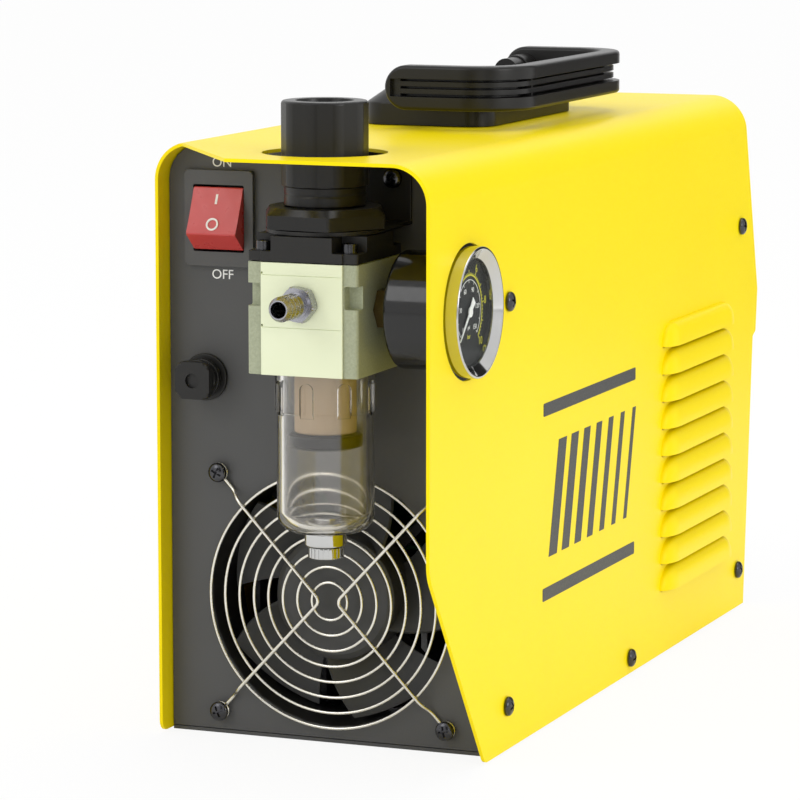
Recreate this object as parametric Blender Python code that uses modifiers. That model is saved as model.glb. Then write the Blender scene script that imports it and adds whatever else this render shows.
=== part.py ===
"""Compact air plasma cutter: a louvred one-piece cover on a base tray, with an air filter
regulator, a pressure gauge, a switch and a fan at the back, and sockets at the front.

Metres, +Z up. The origin is the centre of the base tray's underside. +Y points at the front
panel and the rear panel faces -Y. Seen from behind, +X is to the right.
"""
import math

import bmesh
import bpy
from mathutils import Matrix, Vector

# ---------------------------------------------------------------- driving sizes, in metres

gap = 0.0003                  # clearance between pieces that touch
sheet = 0.0012                # steel sheet of the cover, tray and rear panel
sink = 0.0005                 # how far a joined shape reaches into its neighbour

# case
case_width = 0.120
case_height = 0.2027
case_length = 0.282           # rear panel's face to the foot of the front edge
fold_radius = 0.013           # outside radius of the cover's two folds
foot_gap = 0.0006             # cover's lower edge above the tray's underside
tray_lip = 0.022              # height of the tray's side walls
flange_depth = 0.0165         # folded sides of the rear panel
flange_height = 0.186

# hood: the cover's reach behind the rear panel
hood_reach = 0.0626
hood_knee = 0.072             # height where the right wall starts to slope forward
hood_foot = 0.0114            # reach of the slope's line at the ground
hood_corner = 0.012           # rounding of the knee and of the foot
wall_reach = 0.0084           # reach of the left wall
wall_corner = 0.004
top_cut_left = 0.013          # where the top's slanted edge meets the left wall's reach
top_cut_right = 0.053         # where the slanted edge meets the hood's edge

# nose: the cover's front edge, measured from its foot
top_setback = 0.0065
nose_reach = 0.0144
nose_height = 0.125
chin_reach = 0.0126
chin_height = 0.1083
step_reach = 0.0088
step_height = 0.1067
nose_round = 0.004

# louvres, on both walls
louvre_count = 10
louvre_pitch = 0.01017
louvre_length = 0.084
louvre_start = 0.174          # rear panel's face to the louvres' rear ends
louvre_foot = 0.0249          # lowest lip above the tray's underside
louvre_height = 0.0086
louvre_depth = 0.0044
louvre_end = 0.0110           # length of each rounded end
louvre_end_swell = 0.35       # an end's height and depth as a share of the full hood

# screws
screw_head_radius = 0.0033
screw_head_height = 0.0020
screw_radius = 0.0020
screw_length = 0.0062
screw_sides = 8
low_screw_height = 0.0157
high_screw_height = 0.152
middle_screw_height = 0.0065
rear_screw_inset = 0.0090     # from the rear panel's face
front_screw_inset = 0.0095    # from the foot of the front edge

# front panel
fascia_inset = 0.004          # its face behind the cover's edge
fascia_wall = 0.0025
fascia_depth = 0.020

# fan
fan_edge = 0.00475            # screw centre to the edge of the frame
fan_depth = 0.025
fan_screw_spacing = 0.0825
fan_foot = 0.0033             # under the frame
fan_wall = 0.0022             # the frame at its thinnest
fan_sides = 30
fan_flange = 0.0035
fan_corner = 0.0125           # side of the open corners between the flanges
fan_hub_radius = 0.0215
fan_hub_depth = 0.0185
fan_blade_count = 5
fan_blade_span = 58           # degrees
fan_blade_depth = 0.0135
fan_blade_thickness = 0.0014
fan_tip_clearance = 0.0012

# fan guard
guard_ring_count = 8
guard_inner_radius = 0.0068
guard_ring_pitch = 0.0054
guard_wire = 0.00058          # radius of the ring wire
guard_leg_wire = 0.00075      # radius of the leg wire
guard_stand = 0.0050          # rings' centre plane from the panel
guard_bend = 0.0029           # centre line to the nearest point of a leg
fan_screw_length = 0.016

# filter regulator
unit_x = 0.0103
unit_reach = 0.0285           # axis behind the rear panel
body_width = 0.0386
body_depth = 0.040
face_width = 0.0286           # raised middle of the front and rear
face_rise = 0.0009
body_bottom = 0.1318
body_top = 0.1684
notch_low = 0.154
notch_high = 0.1615
notch_depth = 0.0052
port_height = 0.1555
bonnet_flange = 0.0032
bonnet_block = 0.0050
pocket_size = 0.0087
bracket_sheet = 0.0012
bracket_rise = 0.0225
bracket_screw_spread = 0.013
neck_radius = 0.0128
nut_flats = 0.038
nut_height = 0.0067
nut_turn = 24.6               # degrees
knob_radius = 0.0142
knob_flat_count = 10
knob_skirt_radius = 0.0133
knob_skirt = 0.0060
knob_height = 0.0339
knob_recess_radius = 0.0092
knob_turn = 4.8               # degrees
knob_recess = 0.0022
knob_bore = 0.0108
stem_radius = 0.0040
stem_flat = 0.0026

# bowl under the regulator
bowl_radius = 0.0160
bowl_collar_radius = 0.0166
bowl_collar = 0.0130
bowl_bottom = 0.0784
bowl_wall = 0.0022
bowl_round = 0.0115
bowl_neck_radius = 0.0145
bowl_neck = 0.0110
flute_count = 8
flute_width = 0.0046
flute_height = 0.0105
flute_depth = 0.0008
cup_radius = 0.0108
cup_bottom = 0.1113
baffle_radius = 0.0122
baffle_height = 0.0048
drain_radius = 0.0070
drain_height = 0.0046
drain_stem_radius = 0.0040
cock_radius = 0.0059
cock_height = 0.0038
cock_stem_radius = 0.0022

# air inlet and outlet
barb_hex = 0.0108
barb_hex_length = 0.0042
barb_root_radius = 0.0034
barb_tip_radius = 0.0039
barb_count = 4
barb_pitch = 0.0030
barb_bore = 0.0028
port_radius = 0.0046
port_depth = 0.008
outlet_hex = 0.014
outlet_length = 0.018
hose_radius = 0.0040

# gauge
gauge_height = 0.1528
gauge_radius = 0.0193
gauge_back = 0.0377           # X of the gauge's back
bezel_radius = 0.0213
bezel_proud = 0.0045
bezel_cone = 0.0024
bezel_skirt = 0.0040
dial_radius = 0.0174
dial_thickness = 0.0005
lens_thickness = 0.0008
gauge_hole = 0.0222
nipple_radius = 0.0046
nipple_hex = 0.012
needle_length = 0.0125
needle_tail = 0.0050
needle_width = 0.0012
needle_thickness = 0.0003
needle_rest = 225             # degrees clockwise from the top
knob_hole = 0.0205

# power switch
switch_x = -0.0395
switch_height = 0.17685
switch_width = 0.025
switch_tall = 0.0323
switch_flange = 0.0018
switch_body_depth = 0.020
switch_body_margin = 0.0016
rocker_width = 0.018
rocker_radius = 0.0110
rocker_face = 0.0071          # pivot to the rocker's face
rocker_pivot = 0.0031         # pivot behind the flange's face
rocker_tilt = 24              # degrees either side of the middle

# cord gland
gland_x = -0.0452
gland_height = 0.1228
gland_head = 0.0125
gland_head_depth = 0.0038
gland_reach = 0.0120
gland_rib_radius = 0.0067
gland_core_radius = 0.0060
gland_rib_count = 2
gland_ring_radius = 0.0080
gland_ring = 0.0014
gland_tail = 0.0080           # thread's reach in front of the panel's outside
gland_bore = 0.0025
gland_nut_flats = 0.017
gland_nut_height = 0.0045

# handle
handle_y = -0.009
base_width = 0.048
base_length = 0.094
base_rise = 0.0078            # height of its upright sides
base_crown = 0.0118           # height of its flat top
base_crown_inset = 0.006
base_corner = 0.009
bail_length = 0.129
bail_reach = 0.041            # pivot to the outside of the grip
bail_band = 0.0075
bail_height = 0.0155
bail_clearance = 0.0068       # bail's underside above the cover
bail_corner = 0.021
bail_edge = 0.0014
bail_rim = 0.0047
bail_rib = 0.0017
bail_recess = 0.0022          # ribs' faces behind the rim
bail_slot_depth = 0.0056
bail_slot_start = -0.0024
bail_web = 0.0016
ear_radius = 0.0045
ear_width = 0.010
boss_radius = 0.0052
peg_radius = 0.0024
peg_length = 0.0085

# front fittings
window_width = 0.046
window_height = 0.021
window_rise = 0.019           # centre above the middle of the upper face
window_thickness = 0.0020
dial_knob_radius = 0.0125
dial_knob_height = 0.0145
dial_knob_drop = 0.016        # centre below the middle of the upper face
dial_knob_flutes = 8
spindle_radius = 0.0030
torch_x = -0.028
earth_x = 0.028
socket_drop = 0.020           # centres below the middle of the lower face
torch_plate = 0.034
torch_plate_thickness = 0.004
torch_hex = 0.022
torch_hex_height = 0.006
torch_tube_radius = 0.0085
torch_tube_height = 0.013
torch_bore = 0.0052
earth_flange_radius = 0.0140
earth_boss_radius = 0.0115
earth_boss_height = 0.010
earth_bore = 0.0050
control_rise = 0.024          # centre above the middle of the lower face
control_radius = 0.0085
control_height = 0.006
control_bore = 0.0062
socket_tail = 0.012           # length behind the front panel
round_sides = 32              # sides of the sockets' bores and bosses

# works inside
sink_width = 0.090
sink_length = 0.112
sink_height = 0.056
sink_base = 0.006
fin_count = 8
fin_thickness = 0.0022
fan_to_sink = 0.012
board_thickness = 0.0016
board_width = 0.104
board_length = 0.134
standoff = 0.0040
capacitor_radius = 0.0150
capacitor_height = 0.042
capacitor_count = 3
transformer_width = 0.066
transformer_length = 0.044
transformer_height = 0.060
transformer_gap = 0.010
core_bar = 0.012
valve_width = 0.026
valve_length = 0.030
valve_height = 0.024
coil_radius = 0.0085
coil_height = 0.026
control_board_width = 0.090
control_board_height = 0.060

# ------------------------------------------------------------------------- worked-out sizes

half_width = case_width / 2
inner_half = half_width - sheet              # inside of the cover's walls
fit_half = inner_half - gap                  # outside of what fits between them
rear = -case_length / 2                      # rear panel's outside face
front = case_length / 2                      # foot of the front edge
panel_inner = rear + sheet
panel_bottom = sheet + gap
panel_top = case_height - sheet - gap
inner_fold = fold_radius - sheet
screw_hole = screw_radius + gap

unit_y = rear - unit_reach
body_half = body_width / 2
body_front = unit_y - body_depth / 2
body_rear = unit_y + body_depth / 2
bonnet_bottom = body_top + gap
shoulder = bonnet_bottom + bonnet_flange
bonnet_top = shoulder + bonnet_block
bracket_bottom = bonnet_top + gap
bracket_top = bracket_bottom + bracket_sheet
nut_bottom = bracket_top + gap
nut_top = nut_bottom + nut_height
knob_bottom = nut_top + gap
knob_top = knob_bottom + knob_height
collar_top = body_bottom - gap
collar_bottom = collar_top - bowl_collar
bore_top = collar_top + bowl_neck + gap
cup_top = bore_top - gap
baffle_top = cup_bottom - gap
drain_top = bowl_bottom - gap
drain_bottom = drain_top - drain_height
cock_top = drain_bottom - gap
cock_bottom = cock_top - cock_height

bezel_front = half_width + bezel_proud
cone_foot = bezel_front - bezel_cone
lens_front = cone_foot - gap
lens_back = lens_front - lens_thickness
needle_front = lens_back - gap
needle_back = needle_front - needle_thickness
dial_front = needle_back - gap
dial_back = dial_front - dial_thickness
case_seat = dial_back - gap

cover_top = case_height
base_bottom = cover_top + gap
bail_bottom = cover_top + bail_clearance
bail_top = bail_bottom + bail_height
pivot_height = bail_bottom + bail_height / 2
bail_half = bail_length / 2
base_half = base_length / 2
boss_end = base_half + gap

flange_face = rear - gap - switch_flange
pivot_y = flange_face + rocker_pivot
well_half_height = rocker_radius + gap
well_half_width = rocker_width / 2 + gap
well_floor = pivot_y + rocker_radius

fan_front = panel_inner + gap
fan_back = fan_front + fan_depth
screw_half = fan_screw_spacing / 2
fan_half = screw_half + fan_edge
fan_height = fan_half + fan_foot
fan_bore = fan_half - fan_wall
fan_relief = fan_half - fan_corner
rotor_front = fan_front + 0.0015
rotor_back = rotor_front + fan_hub_depth
mount_front = rotor_back + 0.0006
rotor_bore = 0.0040

# ------------------------------------------------------------------------------ scene, helpers

for thing in list(bpy.data.objects):
    bpy.data.objects.remove(thing, do_unlink=True)

parts = bpy.data.collections.new("plasma_cutter")
cutters = bpy.data.collections.new("cutters")
bpy.context.scene.collection.children.link(parts)
bpy.context.scene.collection.children.link(cutters)


def paint(name, colour, roughness, metallic=0.0, alpha=1.0):
    made = bpy.data.materials.new(name)
    made.use_nodes = True
    shader = made.node_tree.nodes["Principled BSDF"]
    shader.inputs["Base Color"].default_value = (*colour, 1.0)
    shader.inputs["Roughness"].default_value = roughness
    shader.inputs["Metallic"].default_value = metallic
    shader.inputs["Alpha"].default_value = alpha
    made.diffuse_color = (*colour, alpha)
    return made


yellow_paint = paint("yellow_powder_coat", (1.0, 0.85, 0.04), 0.4)
grey_paint = paint("dark_grey_powder_coat", (0.09, 0.09, 0.09), 0.5)
black_plastic = paint("black_moulded_plastic", (0.035, 0.034, 0.032), 0.45)
grey_plastic = paint("grey_moulded_plastic", (0.09, 0.09, 0.09), 0.5)
red_plastic = paint("red_moulded_plastic", (0.45, 0.05, 0.045), 0.35)
cream_paint = paint("cream_body_paint", (0.80, 0.85, 0.62), 0.45)
clear_plastic = paint("clear_polycarbonate", (0.85, 0.88, 0.85), 0.08, 0.0, 0.3)
beige_plastic = paint("beige_filter", (0.62, 0.50, 0.35), 0.6)
chrome_plate = paint("chrome_plate", (0.75, 0.75, 0.75), 0.12, 1.0)
bright_wire = paint("nickel_wire", (0.70, 0.68, 0.62), 0.25, 1.0)
dark_steel = paint("black_zinc_steel", (0.16, 0.16, 0.17), 0.3, 1.0)
brass = paint("brass", (0.65, 0.45, 0.18), 0.3, 1.0)
dial_face = paint("gauge_dial", (0.05, 0.05, 0.05), 0.5)
white_enamel = paint("needle_white", (0.85, 0.85, 0.85), 0.4)
window_tint = paint("tinted_acrylic", (0.10, 0.02, 0.02), 0.1, 0.0, 0.6)
board_green = paint("circuit_board", (0.02, 0.14, 0.06), 0.5)
bare_aluminium = paint("extruded_aluminium", (0.60, 0.60, 0.62), 0.4, 1.0)
ferrite = paint("ferrite_and_tape", (0.07, 0.06, 0.05), 0.6)
hose_rubber = paint("blue_air_hose", (0.03, 0.10, 0.35), 0.5)


def place(name, mesh, look=None, parent=None, where=parts):
    made = bpy.data.objects.new(name, mesh)
    where.objects.link(made)
    if look:
        mesh.materials.clear()
        mesh.materials.append(look)
    if parent:
        made.parent = parent
    return made


def operand(*things):
    """Turns objects into hidden tools for cutting and joining."""
    for thing in things:
        for group in list(thing.users_collection):
            group.objects.unlink(thing)
        cutters.objects.link(thing)
        thing.hide_render = True
        thing.display_type = "WIRE"


def combine(target, operation, tools):
    for tool in tools:
        operand(tool)
        step = target.modifiers.new(operation.lower(), "BOOLEAN")
        step.operation = operation
        step.object = tool
    return target


def cut(target, *tools):
    return combine(target, "DIFFERENCE", tools)


def join(target, *tools):
    return combine(target, "UNION", tools)


def keep(target, *tools):
    return combine(target, "INTERSECT", tools)


def soften(thing, width, segments=1, angle=50):
    edge = thing.modifiers.new("soft_edges", "BEVEL")
    edge.width = width
    edge.segments = segments
    edge.limit_method = "ANGLE"
    edge.angle_limit = math.radians(angle)
    return thing


def box(name, low, high, look=None, parent=None, pivot=(0, 0, 0)):
    low = Vector(low)
    high = Vector(high)
    shape = bmesh.new()
    bmesh.ops.create_cube(shape, size=1.0)
    size = Matrix.Diagonal((*(high - low), 1.0))
    shift = Matrix.Translation((low + high) / 2 - Vector(pivot))
    bmesh.ops.transform(shape, matrix=shift @ size, verts=shape.verts)
    mesh = bpy.data.meshes.new(name)
    shape.to_mesh(mesh)
    shape.free()
    made = place(name, mesh, look, parent)
    made.location = pivot
    return made


def facing(axis):
    """Rotation that turns +Z to the named direction."""
    turns = {
        "+X": Matrix.Rotation(math.pi / 2, 4, "Y"),
        "-X": Matrix.Rotation(-math.pi / 2, 4, "Y"),
        "+Y": Matrix.Rotation(-math.pi / 2, 4, "X"),
        "-Y": Matrix.Rotation(math.pi / 2, 4, "X"),
        "+Z": Matrix.Identity(4),
        "-Z": Matrix.Rotation(math.pi, 4, "X"),
    }
    return turns[axis]


def rod(name, start, axis, length, radius, sides=24, look=None, parent=None, turn=0.0):
    """Round bar, or a prism of few sides, from start along axis."""
    shape = bmesh.new()
    bmesh.ops.create_cone(shape, cap_ends=True, segments=sides, radius1=radius, radius2=radius,
                          depth=length)
    lift = Matrix.Translation((0, 0, length / 2))
    spin = Matrix.Rotation(math.radians(turn), 4, "Z")
    bmesh.ops.transform(shape, matrix=spin @ lift, verts=shape.verts)
    mesh = bpy.data.meshes.new(name)
    shape.to_mesh(mesh)
    shape.free()
    made = place(name, mesh, look, parent)
    made.matrix_local = Matrix.Translation(start) @ facing(axis)
    return made


def hexagon(name, start, axis, length, flats, look=None, parent=None, turn=0.0):
    return rod(name, start, axis, length, flats / math.sqrt(3), 6, look, parent, turn)


def turned(name, profile, at, axis="+Z", steps=24, look=None, parent=None, ring=False):
    """Turns a profile of (radius, height) about the axis; its outer side runs downwards."""
    mesh = bpy.data.meshes.new(name)
    points = [(radius, 0.0, height) for radius, height in profile]
    edges = [(index, index + 1) for index in range(len(points) - 1)]
    if ring:
        edges.append((len(points) - 1, 0))
    mesh.from_pydata(points, edges, [])
    made = place(name, mesh, look, parent)
    made.matrix_local = Matrix.Translation(at) @ facing(axis)
    lathe = made.modifiers.new("lathe", "SCREW")
    lathe.axis = "Z"
    lathe.angle = math.tau
    lathe.steps = steps
    lathe.render_steps = steps
    lathe.use_merge_vertices = True
    lathe.merge_threshold = 0.00001
    lathe.use_smooth_shade = True
    return made


def arc(centre, radius, start, end, steps):
    """Points of (u, v) along an arc, angles in degrees."""
    points = []
    for step in range(steps + 1):
        angle = math.radians(start + (end - start) * step / steps)
        points.append((centre[0] + radius * math.cos(angle), centre[1] + radius * math.sin(angle)))
    return points


def rounded(corners, steps=4):
    """Outline through corners of (u, v, radius), with an arc at each corner that has a radius."""
    outline = []
    for index, (u, v, radius) in enumerate(corners):
        if radius <= 0:
            outline.append((u, v))
            continue
        here = Vector((u, v))
        back = (Vector(corners[index - 1][:2]) - here).normalized()
        ahead = (Vector(corners[(index + 1) % len(corners)][:2]) - here).normalized()
        half = back.angle(ahead) / 2
        centre = here + (back + ahead).normalized() * (radius / math.sin(half))
        begin = here + back * (radius / math.tan(half)) - centre
        finish = here + ahead * (radius / math.tan(half)) - centre
        first = math.degrees(math.atan2(begin.y, begin.x))
        last = math.degrees(math.atan2(finish.y, finish.x))
        while last - first > 180:
            last -= 360
        while last - first < -180:
            last += 360
        outline.extend(arc(centre, radius, first, last, steps))
    return outline


def rectangle(low_u, low_v, high_u, high_v, radius, steps=4):
    corners = [(low_u, low_v), (high_u, low_v), (high_u, high_v), (low_u, high_v)]
    return rounded([(u, v, radius) for u, v in corners], steps)


def prism(name, outline, axis, low, high, look=None, parent=None):
    """Extrudes an outline along X (outline of y, z), Y (of x, z) or Z (of x, y)."""
    curve = bpy.data.curves.new(name + "_outline", "CURVE")
    curve.dimensions = "2D"
    curve.fill_mode = "BOTH"
    curve.extrude = (high - low) / 2
    spline = curve.splines.new("POLY")
    spline.points.add(len(outline) - 1)
    for point, (u, v) in zip(spline.points, outline):
        point.co = (u, v, 0.0, 1.0)
    spline.use_cyclic_u = True
    drawn = bpy.data.objects.new(name + "_outline", curve)
    cutters.objects.link(drawn)
    middle = (low + high) / 2
    frames = {
        "X": Matrix(((0, 0, 1, middle), (1, 0, 0, 0), (0, 1, 0, 0), (0, 0, 0, 1))),
        "Y": Matrix(((1, 0, 0, 0), (0, 0, -1, middle), (0, 1, 0, 0), (0, 0, 0, 1))),
        "Z": Matrix.Translation((0, 0, middle)),
    }
    drawn.matrix_world = frames[axis]
    made = solid_from_curve(name, drawn, look, parent)
    made.matrix_local = frames[axis]
    return made


def solid_from_curve(name, drawn, look=None, parent=None):
    """Replaces a curve by its closed mesh."""
    bpy.context.view_layer.update()
    seen = drawn.evaluated_get(bpy.context.evaluated_depsgraph_get())
    mesh = bpy.data.meshes.new_from_object(seen)
    mesh.name = name
    shape = bmesh.new()
    shape.from_mesh(mesh)
    bmesh.ops.remove_doubles(shape, verts=shape.verts, dist=0.00001)
    bmesh.ops.recalc_face_normals(shape, faces=shape.faces)
    shape.to_mesh(mesh)
    shape.free()
    made = place(name, mesh, look, parent)
    made.matrix_world = drawn.matrix_world
    bpy.data.objects.remove(drawn, do_unlink=True)
    return made


def wire(name, points, radius, look=None, resolution=1, cyclic=False):
    """Round wire through points, with flat closed ends."""
    curve = bpy.data.curves.new(name + "_line", "CURVE")
    curve.dimensions = "3D"
    curve.bevel_depth = radius
    curve.bevel_resolution = resolution
    curve.use_fill_caps = True
    spline = curve.splines.new("POLY")
    spline.points.add(len(points) - 1)
    for point, place_at in zip(spline.points, points):
        point.co = (*place_at, 1.0)
    spline.use_cyclic_u = cyclic
    drawn = bpy.data.objects.new(name + "_line", curve)
    cutters.objects.link(drawn)
    return solid_from_curve(name, drawn, look)


def merged(name, things, look=None):
    """One object from several separate meshes; modifiers are taken as they stand."""
    bpy.context.view_layer.update()
    graph = bpy.context.evaluated_depsgraph_get()
    whole = bmesh.new()
    for thing in things:
        seen = thing.evaluated_get(graph)
        mesh = bpy.data.meshes.new_from_object(seen)
        mesh.transform(thing.matrix_world)
        whole.from_mesh(mesh)
        bpy.data.meshes.remove(mesh)
    for thing in things:
        bpy.data.objects.remove(thing, do_unlink=True)
    mesh = bpy.data.meshes.new(name)
    whole.to_mesh(mesh)
    whole.free()
    return place(name, mesh, look)


def plane_frame(name, top, bottom):
    """Empty in the middle of a slanted face: +Z out of the face, +Y up along it."""
    up = (Vector((0, *top)) - Vector((0, *bottom))).normalized()
    out = Vector((-1, 0, 0)).cross(up)
    middle = (Vector((0, *top)) + Vector((0, *bottom))) / 2
    made = bpy.data.objects.new(name, None)
    parts.objects.link(made)
    columns = Matrix((Vector((-1, 0, 0)), up, out)).transposed().to_4x4()
    made.matrix_world = Matrix.Translation(middle) @ columns
    return made


# ------------------------------------------------------------------------------ case

def nose_points(inset, top, bottom):
    """Front edge from top to bottom as (y, z), set back by inset."""
    slope = (nose_reach + top_setback) / (case_height - nose_height)
    lower = step_reach / step_height
    return [
        (front - top_setback - inset + slope * (case_height - top), top),
        (front + nose_reach - inset, nose_height),
        (front + chin_reach - inset, chin_height),
        (front + step_reach - inset, step_height),
        (front + lower * bottom - inset, bottom),
    ]


def side_screws():
    """Places of the cover's screws on one side as (y, z)."""
    return [
        (rear + rear_screw_inset, low_screw_height),
        (rear + rear_screw_inset, high_screw_height),
        (rear + case_length / 2 - 0.0017, middle_screw_height),
        (front - front_screw_inset, low_screw_height),
        (front - front_screw_inset, high_screw_height),
    ]


screw_drills = merged("screw_drills", [
    rod("drill", (-half_width - 0.01, y, z), "+X", case_width + 0.02, screw_hole, screw_sides)
    for y, z in side_screws()
])


def louvre_bump(name, foot, side, shrink, drop, root, strips):
    """One louvre's rounded hood as a solid: quarter-round across, closed at both ends."""
    shape = bmesh.new()
    stations = []
    begin = rear + louvre_start + shrink
    length = louvre_length - 2 * shrink
    reach = louvre_end if shrink == 0 else louvre_end / 2
    if shrink == 0:
        stations.append((begin, louvre_end_swell))
    stations.append((begin + reach, 1.0))
    stations.append((begin + length - reach, 1.0))
    if shrink == 0:
        stations.append((begin + length, louvre_end_swell))
    height = louvre_height - shrink
    depth = louvre_depth - shrink
    rings = []
    for y, swell in stations:
        ring = [(root, foot - drop)]
        for point in range(strips + 1):
            angle = math.radians(90 * point / strips)
            out = half_width + depth * swell * math.cos(angle)
            up = foot + height * (0.35 + 0.65 * swell) * math.sin(angle)
            ring.append((out, foot - drop if point == 0 else up))
        ring.append((root, foot + height * (0.35 + 0.65 * swell)))
        rings.append([shape.verts.new((side * x, y, z)) for x, z in ring])
    for near, far in zip(rings, rings[1:]):
        count = len(near)
        for index in range(count):
            following = (index + 1) % count
            shape.faces.new((near[index], near[following], far[following], far[index]))
    shape.faces.new(rings[0])
    shape.faces.new(rings[-1])
    bmesh.ops.recalc_face_normals(shape, faces=shape.faces)
    mesh = bpy.data.meshes.new(name)
    shape.to_mesh(mesh)
    shape.free()
    return place(name, mesh)


def make_cover():
    section = rounded([
        (-half_width, foot_gap, 0),
        (-half_width, case_height, fold_radius),
        (half_width, case_height, fold_radius),
        (half_width, foot_gap, 0),
        (inner_half, foot_gap, 0),
        (inner_half, case_height - sheet, inner_fold),
        (-inner_half, case_height - sheet, inner_fold),
        (-inner_half, foot_gap, 0),
    ], 6)
    spare = 0.01
    cover = prism("cover", section, "Y", rear - hood_reach, front + nose_reach + spare,
                  yellow_paint)
    edge = nose_points(0, case_height + spare, foot_gap - spare)
    slope = (hood_reach - hood_foot) / hood_knee
    side_view = rounded([
        (rear - hood_reach, case_height + spare, 0),
        (*edge[0], 0),
        (*edge[1], nose_round),
        (*edge[2], 0),
        (*edge[3], 0),
        (*edge[4], 0),
        (rear, foot_gap - spare, 0),
        (rear, foot_gap, 0),
        (rear - hood_foot, foot_gap, hood_corner / 3),
        (rear - hood_foot - slope * hood_knee, hood_knee, hood_corner),
    ])
    keep(cover, prism("cover_side_view", side_view, "X", -case_width, case_width))
    # the left wall stops short, and the top's edge slants across to the hood
    top_view = [
        (-case_width, rear - wall_reach),
        (-half_width + top_cut_left, rear - wall_reach),
        (-half_width + top_cut_right, rear - hood_reach),
        (-half_width + top_cut_right, rear - 2 * hood_reach),
        (-case_width, rear - 2 * hood_reach),
    ]
    cut(cover, prism("cover_top_cut", top_view, "Z", -spare, case_height + spare))
    foot_round = arc((rear - wall_reach + wall_corner, foot_gap + wall_corner), wall_corner,
                     270, 180, 4)
    foot_round += [(rear - wall_reach - spare, foot_gap + wall_corner),
                   (rear - wall_reach - spare, -spare), (rear - wall_reach + wall_corner, -spare)]
    cut(cover, prism("cover_foot_cut", foot_round, "X", -case_width, -inner_half + spare))
    # openings for the regulator's knob and for the gauge
    cut(cover,
        rod("knob_opening", (unit_x, unit_y, case_height - spare), "+Z", 2 * spare, knob_hole, 28),
        rod("gauge_opening", (inner_half - spare, unit_y, gauge_height), "+X", 3 * spare,
            gauge_hole, 32))
    hoods = []
    hollows = []
    for side in (-1, 1):
        for row in range(louvre_count):
            foot = louvre_foot + row * louvre_pitch
            hoods.append(louvre_bump("hood", foot, side, 0.0, 0.0, half_width - sheet / 2, 3))
            hollows.append(louvre_bump("hollow", foot, side, sheet, 0.0002, inner_half - spare,
                                       1))
    join(cover, merged("louvre_hoods", hoods))
    cut(cover, merged("louvre_hollows", hollows), screw_drills)
    return cover


def make_tray():
    end = front - fascia_inset / 2
    tray = box("base_tray", (-fit_half, rear, 0), (fit_half, end, tray_lip), grey_paint)
    wide = case_width
    fascia_back = front - fascia_inset - fascia_depth
    cut(tray,
        box("tray_hollow", (-fit_half + sheet, rear - wide, sheet),
            (fit_half - sheet, front + wide, tray_lip + wide)),
        box("tray_rear_cut", (-wide, rear - wide, sheet),
            (wide, panel_inner + flange_depth + gap, tray_lip + wide)),
        box("tray_front_cut", (-wide, fascia_back - gap, sheet),
            (wide, front + wide, tray_lip + wide)),
        screw_drills)
    return tray


def make_rear_panel():
    outline = rounded([
        (-fit_half, panel_bottom, 0),
        (fit_half, panel_bottom, 0),
        (fit_half, panel_top, inner_fold - gap),
        (-fit_half, panel_top, inner_fold - gap),
    ], 6)
    panel = prism("rear_panel", outline, "Y", rear, panel_inner, grey_paint)
    for side in (-1, 1):
        low = min(side * fit_half, side * (fit_half - sheet))
        join(panel, box("panel_flange", (low, panel_inner - sink, panel_bottom + 0.001),
                        (low + sheet, panel_inner + flange_depth, flange_height)))
    through = 4 * sheet
    start = rear - sheet
    drills = [rod("fan_opening", (0, start, fan_height), "+Y", through, fan_bore, fan_sides)]
    for x in (-screw_half, screw_half):
        for z in (fan_height - screw_half, fan_height + screw_half):
            drills.append(rod("fan_drill", (x, start, z), "+Y", through, screw_hole, screw_sides))
    drills.append(rod("gland_drill", (gland_x, start, gland_height), "+Y", through,
                      gland_core_radius + gap, 20))
    drills.append(rod("outlet_drill", (unit_x, start, port_height), "+Y", through,
                      port_radius + 2 * gap, 20))
    for x in (-bracket_screw_spread, bracket_screw_spread):
        drills.append(rod("bracket_drill", (unit_x + x, start, bracket_screw_height), "+Y",
                          through, screw_hole, screw_sides))
    margin = switch_body_margin - gap
    drills.append(box("switch_drill",
                      (switch_x - switch_width / 2 + margin, start,
                       switch_height - switch_tall / 2 + margin),
                      (switch_x + switch_width / 2 - margin, start + through,
                       switch_height + switch_tall / 2 - margin)))
    cut(panel, merged("panel_drills", drills), screw_drills)
    return panel


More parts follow.
